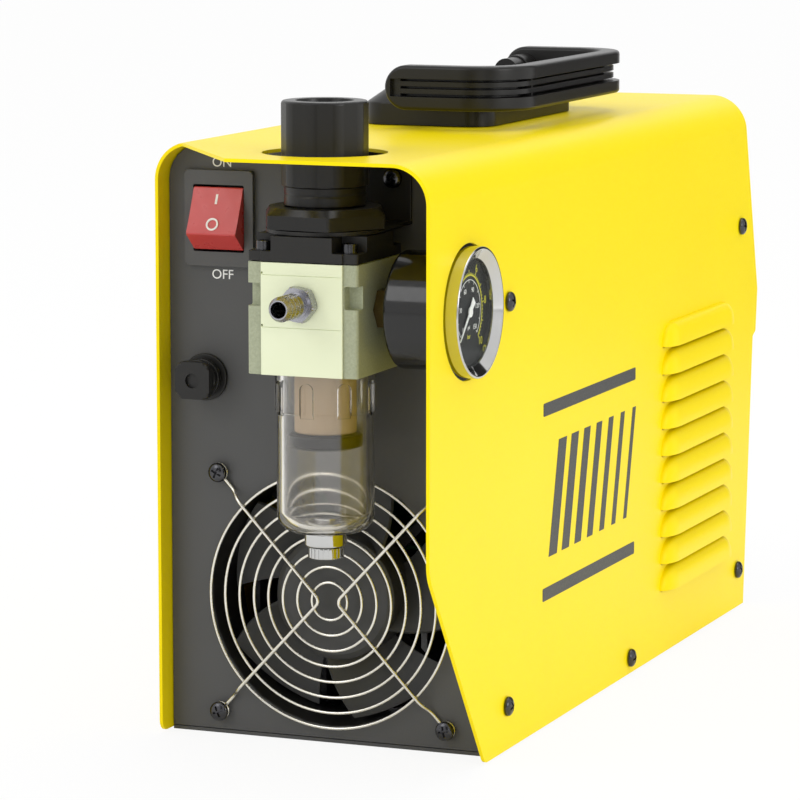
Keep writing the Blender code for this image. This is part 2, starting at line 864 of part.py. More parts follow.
def make_front_panel():
    back = front - fascia_inset - fascia_depth
    outer = nose_points(fascia_inset, panel_top, panel_bottom)
    inner = nose_points(fascia_inset + fascia_wall, panel_top - fascia_wall,
                        panel_bottom + fascia_wall)
    outside = [(back, panel_top, 0), (*outer[0], 0.003), (*outer[1], nose_round),
               (*outer[2], 0), (*outer[3], 0), (*outer[4], 0), (back, panel_bottom, 0)]
    inside = [(back - sheet, inner[0][1]), *inner, (back - sheet, inner[4][1])]
    panel = prism("front_panel", rounded(outside, 3), "X", -fit_half, fit_half, black_plastic)
    keep(panel, prism("front_panel_section", rounded([
        (-fit_half, 0, 0), (fit_half, 0, 0), (fit_half, panel_top, inner_fold - gap),
        (-fit_half, panel_top, inner_fold - gap)], 6), "Y", back - fascia_depth,
        front + case_width))
    cut(panel, prism("front_panel_hollow", inside, "X", -fit_half + fascia_wall,
                     fit_half - fascia_wall))
    reach = fascia_wall * 4
    drills = [
        rod("knob_drill", (0, -dial_knob_drop, -reach), "+Z", 2 * reach, spindle_radius + gap, 16,
            parent=upper_face),
        rod("torch_drill", (-torch_x, -socket_drop, -reach), "+Z", 2 * reach,
            torch_tube_radius + gap, 24, parent=lower_face),
        rod("earth_drill", (-earth_x, -socket_drop, -reach), "+Z", 2 * reach,
            earth_boss_radius - 0.002 + gap, 24, parent=lower_face),
        rod("control_drill", (0, control_rise, -reach), "+Z", 2 * reach,
            control_radius - 0.0015 + gap, 20, parent=lower_face),
        box("window_drill", (-window_width / 2 - gap, window_rise - window_height / 2 - gap, -reach),
            (window_width / 2 + gap, window_rise + window_height / 2 + gap, reach),
            parent=upper_face),
    ]
    cut(panel, *drills, screw_drills)
    return panel


def screw_profile(length, radius=screw_radius):
    head = screw_head_radius
    tall = screw_head_height
    return [(0, tall), (head, tall * 0.3), (head, 0), (radius, 0), (radius, -length),
            (0, -length)]


def make_cover_screws():
    for side, letter, axis in ((-1, "left", "-X"), (1, "right", "+X")):
        for number, (y, z) in enumerate(side_screws(), 1):
            turned("cover_screw_%s_%d" % (letter, number), screw_profile(screw_length),
                   (side * (half_width + gap), y, z), axis, screw_sides, dark_steel)


# ------------------------------------------------------------------------------ fan

def make_fan_frame():
    outline = rectangle(-fan_half, fan_height - fan_half, fan_half, fan_height + fan_half,
                        0.005, 2)
    frame = prism("fan_frame", outline, "Y", fan_front, fan_back, black_plastic)
    # between its two flanges the frame is open at the corners
    reliefs = []
    for u in (-1, 1):
        for v in (-1, 1):
            x = sorted((u * fan_relief, u * (fan_half + sheet)))
            z = sorted((fan_height + v * fan_relief, fan_height + v * (fan_half + sheet)))
            reliefs.append(box("relief", (x[0], fan_front + fan_flange, z[0]),
                               (x[1], fan_back - fan_flange, z[1])))
    cut(frame, merged("fan_reliefs", reliefs),
        rod("fan_bore", (0, fan_front - sheet, fan_height), "+Y", fan_depth * 2, fan_bore,
            fan_sides))
    mount_depth = fan_back - mount_front
    struts = [rod("mount", (0, mount_front, fan_height), "+Y", mount_depth,
                  fan_hub_radius - 0.001, 24)]
    for turn in (0, 1, 2, 3):
        strut = box("strut", (-0.0016, 0, 0), (0.0016, mount_depth - 0.0004, fan_bore + 0.001))
        strut.matrix_world = (Matrix.Translation((0, mount_front + 0.0002, fan_height))
                              @ Matrix.Rotation(math.radians(45 + 90 * turn), 4, "Y"))
        struts.append(strut)
    struts.append(rod("bearing", (0, rotor_front + 0.004, fan_height), "+Y",
                      mount_front + sink - rotor_front - 0.004, rotor_bore - gap, 16))
    join(frame, *struts)
    drills = []
    for x in (-screw_half, screw_half):
        for z in (fan_height - screw_half, fan_height + screw_half):
            drills.append(rod("frame_drill", (x, fan_front - sheet, z), "+Y", fan_depth * 2,
                              screw_hole, screw_sides))
    cut(frame, merged("frame_drills", drills))
    return frame


def make_fan_rotor():
    rotor = turned("fan_rotor", [
        (0, 0), (fan_hub_radius - 0.001, 0), (fan_hub_radius, -0.001),
        (fan_hub_radius, -fan_hub_depth), (rotor_bore, -fan_hub_depth), (rotor_bore, -0.0035),
        (0, -0.0035)], (0, rotor_front, fan_height), "-Y", 20, grey_plastic)
    blades = bpy.data.meshes.new("fan_blades")
    sheet_of_blades = bmesh.new()
    tip = fan_bore - fan_tip_clearance
    root = fan_hub_radius - 0.0012
    for number in range(fan_blade_count):
        rows = []
        for radial in range(3):
            radius = root + (tip - root) * radial / 2
            row = []
            for chord in range(4):
                share = chord / 3
                sweep = fan_blade_span * (0.86 + 0.07 * radial)
                angle = math.radians(360 * number / fan_blade_count + 18
                                     + sweep * (share - 0.5) - 4 * radial)
                depth = (fan_hub_depth - fan_blade_depth) / 2 + fan_blade_depth * share
                bow = 0.0012 * math.sin(math.pi * share)
                row.append(sheet_of_blades.verts.new(
                    (radius * math.cos(angle), radius * math.sin(angle), -depth - bow)))
            rows.append(row)
        for inner, outer in zip(rows, rows[1:]):
            for index in range(3):
                sheet_of_blades.faces.new((inner[index], outer[index], outer[index + 1],
                                           inner[index + 1]))
    sheet_of_blades.to_mesh(blades)
    sheet_of_blades.free()
    fan_blades = place("fan_blades", blades)
    fan_blades.matrix_local = Matrix.Translation((0, rotor_front, fan_height)) @ facing("-Y")
    thick = fan_blades.modifiers.new("thickness", "SOLIDIFY")
    thick.thickness = fan_blade_thickness
    thick.offset = 0.0
    join(rotor, fan_blades)
    return rotor


def make_fan_guard():
    """Eight rings carried by two bent legs, whose ends are bent to the panel."""
    rings = []
    ring_y = rear - guard_stand
    for number in range(guard_ring_count):
        radius = guard_inner_radius + guard_ring_pitch * number
        bpy.ops.mesh.primitive_torus_add(
            major_radius=radius, minor_radius=guard_wire, major_segments=9 + 2 * number,
            minor_segments=4, location=(0, ring_y, fan_height), rotation=(math.pi / 2, 0, 0))
        rings.append(bpy.context.object)
    guard = merged("fan_guard", rings, bright_wire)
    leg_y = ring_y - guard_wire - guard_leg_wire * 0.6
    foot_y = rear - gap - guard_leg_wire
    outer = guard_inner_radius + guard_ring_pitch * (guard_ring_count - 1)
    slant = math.atan2(screw_half, screw_half - guard_bend)
    bend_from = screw_half - (outer + 0.003) * math.sin(slant)
    legs = []
    for side in (-1, 1):
        points = []
        for end in (-1, 1):
            along = []
            foot = Vector((side * screw_half, end * screw_half))
            apex = Vector((side * guard_bend, 0))
            line = (foot - apex).normalized()
            along.append((foot, foot_y))
            along.append((foot - line * (bend_from * 0.62), foot_y))
            along.append((foot - line * (bend_from * 1.25), leg_y))
            along.append((apex + line * 0.006, leg_y))
            along.append((apex + line * 0.0025 + Vector((side * 0.0004, 0)), leg_y))
            if end == 1:
                along.reverse()
            points.extend(along)
        path = [(spot.x, y, fan_height + spot.y) for spot, y in points]
        legs.append(wire("guard_leg", path, guard_leg_wire, resolution=0))
    join(guard, merged("guard_legs", legs))
    # the legs' ends lie beside the screws, so each is trimmed by the screw's room
    trims = []
    for x in (-screw_half, screw_half):
        for z in (-screw_half, screw_half):
            trims.append(rod("trim", (x, rear - guard_stand, fan_height + z), "+Y",
                             guard_stand + sheet, screw_hole, screw_sides))
    cut(guard, merged("guard_trims", trims))
    return guard


def make_fan_screws():
    seat = rear - gap - 2 * guard_leg_wire - gap
    number = 0
    for x in (-screw_half, screw_half):
        for z in (fan_height - screw_half, fan_height + screw_half):
            number += 1
            turned("fan_screw_%d" % number, screw_profile(fan_screw_length), (x, seat, z), "-Y",
                   screw_sides, dark_steel)


# ------------------------------------------------------------------------------ filter regulator

bracket_screw_height = bracket_top + bracket_rise * 0.62
unit_axis = (unit_x, unit_y, 0)


def corner_boxes(name, inner_x, inner_y, low, high):
    """Four boxes at the unit's corners, outside the given distances from its axis."""
    boxes = []
    for u in (-1, 1):
        for v in (-1, 1):
            x = sorted((unit_x + u * inner_x, unit_x + u * body_width))
            y = sorted((unit_y + v * inner_y, unit_y + v * body_depth))
            boxes.append(box("corner", (x[0], y[0], low), (x[1], y[1], high)))
    return merged(name, boxes)


def unit_block(name, low, high, look):
    """Block whose front and rear have a raised middle."""
    block = box(name, (unit_x - body_half, body_front, low), (unit_x + body_half, body_rear, high),
                look)
    return cut(block, corner_boxes("strips", face_width / 2, body_depth / 2 - face_rise,
                                   low - sheet, high + sheet))


def make_regulator_body():
    body = unit_block("regulator_body", body_bottom, body_top, cream_paint)
    cut(body, corner_boxes("notches", face_width / 2 + gap, body_depth / 2 - notch_depth,
                           notch_low, notch_high))
    cut(body, merged("body_drills", [
        rod("bowl_socket", (unit_x, unit_y, body_bottom - sheet), "+Z",
            bore_top - body_bottom + sheet, bowl_neck_radius + gap, 24),
        rod("inlet_port", (unit_x, body_front - sheet, port_height), "+Y", port_depth + sheet,
            port_radius, 14),
        rod("outlet_port", (unit_x, body_rear + sheet, port_height), "-Y", port_depth + sheet,
            port_radius, 14)]),
        rod("gauge_port", (unit_x + body_half + sheet, unit_y, gauge_height), "-X",
            0.006 + sheet, nipple_radius, 14))
    return body


def make_bonnet():
    bonnet = unit_block("regulator_bonnet", bonnet_bottom, bonnet_top, black_plastic)
    cut(bonnet, corner_boxes("bonnet_pockets", body_half - pocket_size,
                             body_depth / 2 - pocket_size, shoulder, bonnet_top + sheet))
    neck_top = knob_bottom + knob_height * 0.62
    join(bonnet,
         rod("bonnet_neck", (unit_x, unit_y, bonnet_top - sink), "+Z",
             nut_top - gap - bonnet_top + sink, neck_radius, 24),
         rod("bonnet_spigot", (unit_x, unit_y, bonnet_top), "+Z", neck_top - bonnet_top,
             knob_bore - 2 * gap, 24))
    cut(bonnet, rod("bonnet_bore", (unit_x, unit_y, shoulder), "+Z", knob_height * 2,
                    stem_radius + gap, 20))
    return bonnet


def make_bracket():
    plate = [(unit_x - body_half, rear - gap), (unit_x - body_half, unit_y)]
    plate += arc((unit_x, unit_y), body_half, 180, 360, 16)
    plate += [(unit_x + body_half, unit_y), (unit_x + body_half, rear - gap)]
    plate = [point for index, point in enumerate(plate) if point != plate[index - 1]]
    bracket = prism("air_bracket", plate, "Z", bracket_bottom, bracket_top, black_plastic)
    join(bracket, box("bracket_upright",
                      (unit_x - body_half, rear - gap - bracket_sheet, bracket_bottom),
                      (unit_x + body_half, rear - gap, bracket_top + bracket_rise)))
    drills = [rod("neck_drill", (unit_x, unit_y, bracket_bottom - sheet), "+Z", 4 * sheet,
                  neck_radius + gap, 24)]
    for x in (-bracket_screw_spread, bracket_screw_spread):
        drills.append(rod("bracket_screw_drill", (unit_x + x, rear - 3 * sheet,
                                                  bracket_screw_height), "+Y", 4 * sheet,
                          screw_hole, screw_sides))
    cut(bracket, merged("bracket_drills", drills))
    return bracket


def make_bracket_screws():
    for number, x in enumerate((-bracket_screw_spread, bracket_screw_spread), 1):
        turned("bracket_screw_%d" % number, screw_profile(screw_length),
               (unit_x + x, rear - 2 * gap - bracket_sheet, bracket_screw_height), "-Y",
               screw_sides, dark_steel)


def make_ring_nut():
    nut = hexagon("ring_nut", (unit_x, unit_y, nut_bottom), "+Z", nut_height, nut_flats,
                  black_plastic, turn=nut_turn)
    corner = nut_flats / math.sqrt(3)
    keep(nut, turned("nut_chamfer", [
        (0, nut_height + sheet), (nut_flats / 2 - 0.0008, nut_height + sheet),
        (nut_flats / 2 - 0.0008, nut_height), (corner + 0.0003, nut_height - 0.0022),
        (corner + 0.0003, -sheet), (0, -sheet)], (unit_x, unit_y, nut_bottom), "+Z", 24))
    cut(nut, rod("nut_bore", (unit_x, unit_y, nut_bottom - sheet), "+Z", nut_height + 2 * sheet,
                 neck_radius + gap, 24))
    return nut


def make_knob():
    """Ten-sided grip over a round skirt; a dished top; it lifts off its lock to turn."""
    skirt_top = knob_skirt
    grip = turned("regulator_knob", [
        (0, knob_height - knob_recess), (knob_recess_radius, knob_height - knob_recess),
        (knob_recess_radius, knob_height), (knob_radius - 0.0012, knob_height),
        (knob_radius, knob_height - 0.0012), (knob_radius, skirt_top + 0.0004),
        (knob_skirt_radius, skirt_top), (knob_skirt_radius, skirt_top * 0.75),
        (knob_skirt_radius - 0.0006, skirt_top * 0.6), (knob_skirt_radius, skirt_top * 0.45),
        (knob_skirt_radius, 0), (knob_bore, 0),
        (knob_bore, knob_height * 0.72), (0, knob_height * 0.72)],
        (unit_x, unit_y, knob_bottom), "+Z", 20, black_plastic)
    flats = []
    depth = knob_radius * (1 - math.cos(math.pi / knob_flat_count)) * 0.75
    for number in range(knob_flat_count):
        turn = 360 * (number + 0.5) / knob_flat_count - 90 + knob_turn
        flat = box("flat", (knob_radius - depth, -knob_radius, skirt_top + 0.0005),
                   (knob_radius + 0.004, knob_radius, knob_height + sheet))
        flat.matrix_world = (Matrix.Translation((unit_x, unit_y, knob_bottom))
                             @ Matrix.Rotation(math.radians(turn), 4, "Z"))
        flats.append(flat)
    for flat in flats:
        cut(grip, flat)
    cut(grip, box("stem_socket", (-stem_radius - gap, -stem_flat - gap, knob_height * 0.5),
                  (stem_radius + gap, stem_flat + gap, knob_height * 0.86)))
    socket = grip.modifiers[-1].object
    socket.location = (unit_x, unit_y, knob_bottom)
    return grip


def make_adjust_screw():
    """Spindle that the knob turns: round below, with two flats where the knob slides."""
    top = knob_bottom + knob_height * 0.80
    stem = rod("adjust_screw", (unit_x, unit_y, shoulder + gap), "+Z", top - shoulder - gap,
               stem_radius, 20, dark_steel)
    flats = []
    split = knob_bottom + knob_height * 0.64
    for side in (-1, 1):
        low, high = sorted((side * stem_flat, side * 2 * stem_radius))
        flats.append(box("stem_flat", (unit_x - 2 * stem_radius, unit_y + low, split),
                         (unit_x + 2 * stem_radius, unit_y + high, top + sheet)))
    cut(stem, merged("stem_flats", flats))
    return stem


def make_bowl():
    """Clear bowl: ribbed collar, straight wall, round bottom and a neck inside the body."""
    outside = [(bowl_neck_radius, collar_top + bowl_neck), (bowl_neck_radius, collar_top),
               (bowl_collar_radius, collar_top), (bowl_collar_radius, collar_bottom + 0.0005),
               (bowl_radius, collar_bottom)]
    outside += [(r, z) for r, z in arc((bowl_radius - bowl_round, bowl_bottom + bowl_round),
                                       bowl_round, 0, -90, 3)]
    hole = drain_stem_radius + gap
    outside.append((hole, bowl_bottom))
    inner_round = bowl_round - bowl_wall
    inside = [(hole, bowl_bottom + bowl_wall)]
    inside += [(r, z) for r, z in arc((bowl_radius - bowl_round, bowl_bottom + bowl_round),
                                      inner_round, -90, 0, 2)]
    inside.append((bowl_radius - bowl_wall, collar_top - bowl_wall))
    inside.append((bowl_neck_radius - bowl_wall, collar_top))
    inside.append((bowl_neck_radius - bowl_wall, collar_top + bowl_neck))
    bowl = turned("filter_bowl", outside + inside, unit_axis, "+Z", 24, clear_plastic, ring=True)
    for number in range(flute_count):
        turn = Matrix.Rotation(math.radians(360 * (number + 0.5) / flute_count), 4, "Z")
        half = flute_width / 2
        low = collar_top - flute_height
        outline = arc((0, low), half, 180, 360, 4)
        outline += [(half, collar_top + sheet), (-half, collar_top + sheet)]
        flute = prism("flute", outline, "Y", -bowl_collar_radius - sheet,
                      -bowl_collar_radius + flute_depth)
        flute.matrix_world = (Matrix.Translation((unit_x, unit_y, 0)) @ turn
                              @ flute.matrix_world)
        cut(bowl, flute)
    return bowl


def make_filter_cup():
    return turned("filter_cup", [
        (0, cup_top), (bowl_neck_radius - bowl_wall - gap, cup_top),
        (bowl_neck_radius - bowl_wall - gap, cup_top - 0.004), (cup_radius, cup_top - 0.005),
        (cup_radius - 0.0004, cup_bottom), (cup_radius - 0.002, cup_bottom),
        (cup_radius - 0.002, cup_bottom + 0.002), (0, cup_bottom + 0.002)],
        unit_axis, "+Z", 20, beige_plastic)


def make_baffle():
    low = baffle_top - baffle_height
    return turned("baffle_disc", [
        (0, baffle_top), (cup_radius - 0.001, baffle_top), (baffle_radius, baffle_top - 0.0012),
        (baffle_radius, low + 0.0015), (baffle_radius - 0.0012, low),
        (0.004, low), (0.003, low - 0.010), (0, low - 0.010)], unit_axis, "+Z", 24,
        black_plastic)


def make_drain():
    stem_top = bowl_bottom + bowl_wall + 0.0045
    body = turned("drain_body", [
        (0, stem_top), (0.0048, stem_top), (0.0048, bowl_bottom + bowl_wall + gap),
        (drain_stem_radius, bowl_bottom + bowl_wall + gap), (drain_stem_radius, drain_top),
        (drain_radius, drain_top), (drain_radius, drain_bottom), (0, drain_bottom)],
        unit_axis, "+Z", 20, chrome_plate)
    cut(body, rod("drain_bore", (unit_x, unit_y, drain_bottom - sheet), "+Z",
                  sheet + 0.0045, cock_stem_radius + gap, 16))
    return body


def make_drain_cock():
    cock = turned("drain_cock", [
        (0, 0.0040), (cock_stem_radius, 0.0040), (cock_stem_radius, 0),
        (cock_radius - 0.0004, 0), (cock_radius, -0.0004), (cock_radius, -cock_height + 0.0004),
        (cock_radius - 0.0004, -cock_height), (0.0018, -cock_height), (0.0018, -0.0015),
        (0, -0.0015)], (unit_x, unit_y, cock_top), "+Z", 20, chrome_plate)
    return cock


def make_hose_barb():
    """Inlet: a thread in the body, a hexagon against it and a ribbed tail for the hose."""
    start = body_front - gap
    barb = hexagon("hose_barb", (unit_x, start, port_height), "-Y", barb_hex_length, barb_hex,
                   chrome_plate, turn=30)
    tail = [(barb_root_radius, 0)]
    for number in range(barb_count):
        base = 0.002 + number * barb_pitch
        tail.append((barb_root_radius, base))
        tail.append((barb_tip_radius, base + 0.0006))
        tail.append((barb_root_radius, base + barb_pitch * 0.92))
    length = 0.002 + barb_count * barb_pitch + 0.0006
    tail.append((barb_root_radius, length))
    profile = [(0, length)] + list(reversed(tail))
    profile.append((0, 0))
    ribbed = turned("barb_tail", profile, (unit_x, start - barb_hex_length + sink, port_height),
                    "-Y", 12)
    join(barb, ribbed,
         rod("barb_thread", (unit_x, start - sink, port_height), "+Y",
             port_depth - 2 * gap + sink, port_radius - gap, 14))
    cut(barb, rod("barb_bore", (unit_x, start - 0.05, port_height), "+Y", 0.05 + port_depth + 0.01,
                  barb_bore, 10))
    return barb


def make_outlet():
    """Outlet: from the body through the rear panel to the hose inside."""
    start = body_rear - port_depth + gap
    end = panel_inner + outlet_length
    outlet = rod("outlet_fitting", (unit_x, start, port_height), "+Y", end - start,
                 port_radius - gap, 14, brass)
    join(outlet,
         hexagon("outlet_hex", (unit_x, panel_inner + gap, port_height), "+Y", 0.005, outlet_hex),
         hexagon("outlet_collar", (unit_x, body_rear + gap, port_height), "+Y",
                 unit_reach - body_depth / 2 - 3 * gap, outlet_hex))
    cut(outlet, rod("outlet_bore", (unit_x, start - sheet, port_height), "+Y",
                    end - start + 2 * sheet, barb_bore, 10))
    return outlet


# ------------------------------------------------------------------------------ gauge

def on_gauge(x):
    return (x, unit_y, gauge_height)


def make_gauge():
    nipple_start = unit_x + body_half - 0.006 + gap
    nipple_end = gauge_back - gap
    nipple = rod("gauge_nipple", on_gauge(nipple_start), "+X", nipple_end - nipple_start,
                 nipple_radius - gap, 20, brass)
    join(nipple, hexagon("nipple_hex", on_gauge(unit_x + body_half + gap), "+X",
                         nipple_end - unit_x - body_half - gap, nipple_hex))
    case_front = cone_foot - 0.0022
    turned("gauge_case", [
        (0, case_seat), (dial_radius + gap, case_seat), (dial_radius + gap, case_front),
        (gauge_radius, case_front), (gauge_radius, gauge_back + 0.0016),
        (gauge_radius - 0.0016, gauge_back), (0, gauge_back)],
        (0, unit_y, gauge_height), "+X", 24, black_plastic)
    turned("gauge_bezel", [
        (bezel_radius - 0.0007, bezel_front), (bezel_radius, bezel_front - 0.0005),
        (bezel_radius, case_front - bezel_skirt), (gauge_radius + gap, case_front - bezel_skirt),
        (gauge_radius + gap, case_front + gap), (dial_radius, case_front + gap),
        (dial_radius, cone_foot)],
        (0, unit_y, gauge_height), "+X", 24, chrome_plate, ring=True)
    turned("gauge_dial", [(0, dial_front), (dial_radius, dial_front), (dial_radius, dial_back),
                          (0, dial_back)], (0, unit_y, gauge_height), "+X", 24, dial_face)
    turned("gauge_lens", [(0, lens_front), (dial_radius - gap, lens_front),
                          (dial_radius - gap, lens_back), (0, lens_back)],
           (0, unit_y, gauge_height), "+X", 24, clear_plastic)
    # pointer in the dial's plane: u is +Y, v is up
    turn = math.radians(90 - needle_rest)
    along = Vector((math.cos(turn), math.sin(turn)))
    across = Vector((-along.y, along.x))
    corners = [along * needle_length + across * needle_width * 0.12,
               across * needle_width * 0.5,
               along * -needle_tail + across * needle_width * 0.8,
               along * -needle_tail - across * needle_width * 0.8,
               across * needle_width * -0.5,
               along * needle_length - across * needle_width * 0.12]
    needle = prism("gauge_needle", [(p.x, p.y) for p in corners], "X",
                   -needle_thickness / 2, needle_thickness / 2, white_enamel)
    middle = (needle_back + needle_front) / 2
    needle.matrix_world = Matrix.Translation(on_gauge(middle)) @ needle.matrix_world
    join(needle, rod("needle_hub", on_gauge(needle_back + 0.00004), "+X",
                     needle_thickness - 0.00008, 0.0017, 16))
    return needle


# ------------------------------------------------------------------------------ switch and gland

def make_switch():
    half_w = switch_width / 2
    half_h = switch_tall / 2
    outline = rectangle(switch_x - half_w, switch_height - half_h, switch_x + half_w,
                        switch_height + half_h, 0.001, 2)
    housing = prism("switch_housing", outline, "Y", flange_face, rear - gap, grey_plastic)
    margin = switch_body_margin
    join(housing, box("switch_body",
                      (switch_x - half_w + margin, rear - gap - sink,
                       switch_height - half_h + margin),
                      (switch_x + half_w - margin, rear + switch_body_depth,
                       switch_height + half_h - margin)))
    cut(housing, box("switch_well",
                     (switch_x - well_half_width, flange_face - sheet,
                      switch_height - well_half_height),
                     (switch_x + well_half_width, well_floor,
                      switch_height + well_half_height)))
    blades = []
    for x in (-0.006, 0.006):
        for z in (-0.008, 0.008):
            blades.append(box("terminal",
                              (switch_x + x - 0.003, rear + switch_body_depth - sink,
                               switch_height + z - 0.0004),
                              (switch_x + x + 0.003, rear + switch_body_depth + 0.009,
                               switch_height + z + 0.0004)))
    join(housing, merged("switch_terminals", blades))
    return housing


def make_rocker():
    """Rocker as it lies with its upper end pressed in; the pivot is its origin."""
    tilt = math.radians(rocker_tilt)
    ridge = math.sqrt(rocker_radius ** 2 - rocker_face ** 2)
    foot_drop = 0.0016
    foot = math.sqrt(rocker_radius ** 2 - foot_drop ** 2)
    shape = [(-ridge, rocker_face), (-ridge * 0.5, rocker_face - 0.0003),
             (ridge * 0.5, rocker_face - 0.0003), (ridge, rocker_face), (foot, -foot_drop),
             (foot * 0.55, -0.006), (-foot * 0.55, -0.006), (-foot, -foot_drop)]
    outline = []
    for up, out in shape:
        height = up * math.cos(tilt) + out * math.sin(tilt)
        proud = -up * math.sin(tilt) + out * math.cos(tilt)
        outline.append((-proud, height))
    rocker = prism("switch_rocker", outline, "X", -rocker_width / 2, rocker_width / 2,
                   red_plastic)
    rocker.matrix_world = (Matrix.Translation((switch_x, pivot_y, switch_height))
                           @ rocker.matrix_world)
    return rocker


def make_gland():
    face = rear - gland_reach
    half = gland_head / 2
    head = prism("cable_gland", rectangle(gland_x - half, gland_height - half, gland_x + half,
                                          gland_height + half, 0.0024, 3),
                 "Y", face, face + gland_head_depth, black_plastic)
    under_head = gland_reach - gland_head_depth
    pitch = (under_head - gap - gland_ring) / gland_rib_count
    profile = [(0, under_head + sink)]
    for number in range(gland_rib_count):
        top = under_head - number * pitch
        start = top + sink if number == 0 else top
        profile += [(gland_rib_radius, start), (gland_rib_radius, top - pitch / 2),
                    (gland_core_radius, top - pitch / 2), (gland_core_radius, top - pitch)]
    profile += [(gland_ring_radius, gap + gland_ring), (gland_ring_radius, gap),
                (gland_core_radius, gap), (gland_core_radius, -gland_tail), (0, -gland_tail)]
    join(head, turned("gland_barrel", profile, (gland_x, rear, gland_height), "-Y", 12))
    cut(head, rod("gland_bore", (gland_x, face - sheet, gland_height), "+Y", 0.04, gland_bore,
                  round_sides))
    nut = hexagon("gland_nut", (gland_x, panel_inner + gap, gland_height), "+Y",
                  gland_nut_height, gland_nut_flats, black_plastic)
    cut(nut, rod("gland_nut_bore", (gland_x, panel_inner, gland_height), "+Y", 0.02,
                 gland_core_radius + gap, 20))
    return head


# ------------------------------------------------------------------------------ handle

def make_handle_base():
    """Upright sides, then a crown that slopes in to a smaller flat top."""
    half = base_width / 2
    inset = base_crown_inset
    lower = rectangle(-half, handle_y - base_half, half, handle_y + base_half, base_corner, 4)
    upper = rectangle(-half + inset, handle_y - base_half + inset, half - inset,
                      handle_y + base_half - inset, base_corner - inset / 2, 4)
    shape = bmesh.new()
    rings = []
    for points, height in ((lower, base_bottom), (lower, cover_top + base_rise),
                           (upper, cover_top + base_crown)):
        rings.append([shape.verts.new((x, y, height)) for x, y in points])
    for low, high in zip(rings, rings[1:]):
        for index in range(len(low)):
            after = (index + 1) % len(low)
            shape.faces.new((low[index], low[after], high[after], high[index]))
    shape.faces.new(rings[0])
    shape.faces.new(rings[-1])
    bmesh.ops.recalc_face_normals(shape, faces=shape.faces)
    mesh = bpy.data.meshes.new("handle_base")
    shape.to_mesh(mesh)
    shape.free()
    base = place("handle_base", mesh, black_plastic)
    for end in (-1, 1):
        low, high = sorted((handle_y + end * base_half, handle_y + end * (base_half - ear_width)))
        ear = [(-ear_radius, cover_top + base_rise / 2), (ear_radius, cover_top + base_rise / 2)]
        ear += arc((0, pivot_height), ear_radius, 0, 180, 8)
        start = (0, handle_y + end * (base_half - sink), pivot_height)
        join(base, prism("ear", ear, "Y", low, high),
             rod("handle_peg", start, "+Y" if end > 0 else "-Y", peg_length + sink, peg_radius,
                 16))
    return base


def bail_track(inset, reach_back):
    """Plan of the bail set in from its outside: arm, corner, grip, corner, arm."""
    radius = bail_corner - inset
    right = bail_reach - inset
    low = handle_y - bail_half + inset
    high = handle_y + bail_half - inset
    points = [(reach_back, low)]
    points += arc((right - radius, low + radius), radius, -90, 0, 4)
    points += arc((right - radius, high - radius), radius, 0, 90, 4)
    points.append((reach_back, high))
    return points


def make_bail():
    end_radius = bail_height / 2
    outline = bail_track(0, -end_radius) + list(reversed(bail_track(bail_band, -end_radius)))
    bail = prism("handle_bail", outline, "Z", bail_bottom, bail_top, black_plastic)
    soften(bail, bail_edge, 1, 50)
    # the arms' ends are rounded about the pivot
    rounding = arc((0, pivot_height), end_radius, 270, 90, 8)
    rounding += [(0, bail_top + sheet), (-end_radius - sheet, bail_top + sheet),
                 (-end_radius - sheet, bail_bottom - sheet), (0, bail_bottom - sheet)]
    cut(bail, prism("bail_end_cut", rounding, "Y", handle_y - bail_length,
                    handle_y + bail_length))
    for end in (-1, 1):
        arm_inside = bail_half - bail_band
        start = (0, handle_y + end * (arm_inside + sink), pivot_height)
        axis = "-Y" if end > 0 else "+Y"
        join(bail, rod("bail_boss", start, axis, arm_inside + sink - boss_end, boss_radius, 20))
        drill_start = (0, handle_y + end * (boss_end - sheet), pivot_height)
        back = "+Y" if end > 0 else "-Y"
        cut(bail, rod("boss_drill", drill_start, back, sheet + peg_length,
                      peg_radius + gap, 16))
    # a recess runs round the outside, and in it three slots leave two ribs and a web
    opening = bail_height - 2 * bail_rim
    slot = (opening - 2 * bail_rib) / 3
    track_out = bail_track(-sheet, bail_slot_start)
    low = bail_bottom + bail_rim
    slots = []
    floor = list(reversed(bail_track(bail_slot_depth, bail_slot_start)))
    web_y = handle_y - bail_half + bail_corner + bail_web
    for number in range(3):
        strip = prism("slot", track_out + floor, "Z", low, low + slot)
        cut(strip, box("web_room", (0, web_y - bail_web / 2, low - sheet),
                       (bail_reach * 2, web_y + bail_web / 2, low + slot + sheet)))
        slots.append(strip)
        low += slot + bail_rib
    cut(bail, merged("bail_slots", slots))
    recess = list(reversed(bail_track(bail_recess, bail_slot_start)))
    cut(bail, prism("recess", track_out + recess, "Z", bail_bottom + bail_rim, bail_top - bail_rim))
    return bail


# ------------------------------------------------------------------------------ front fittings

upper_edge = nose_points(fascia_inset, panel_top, panel_bottom)
upper_face = plane_frame("upper_face", upper_edge[0], upper_edge[1])
lower_face = plane_frame("lower_face", upper_edge[3], upper_edge[4])


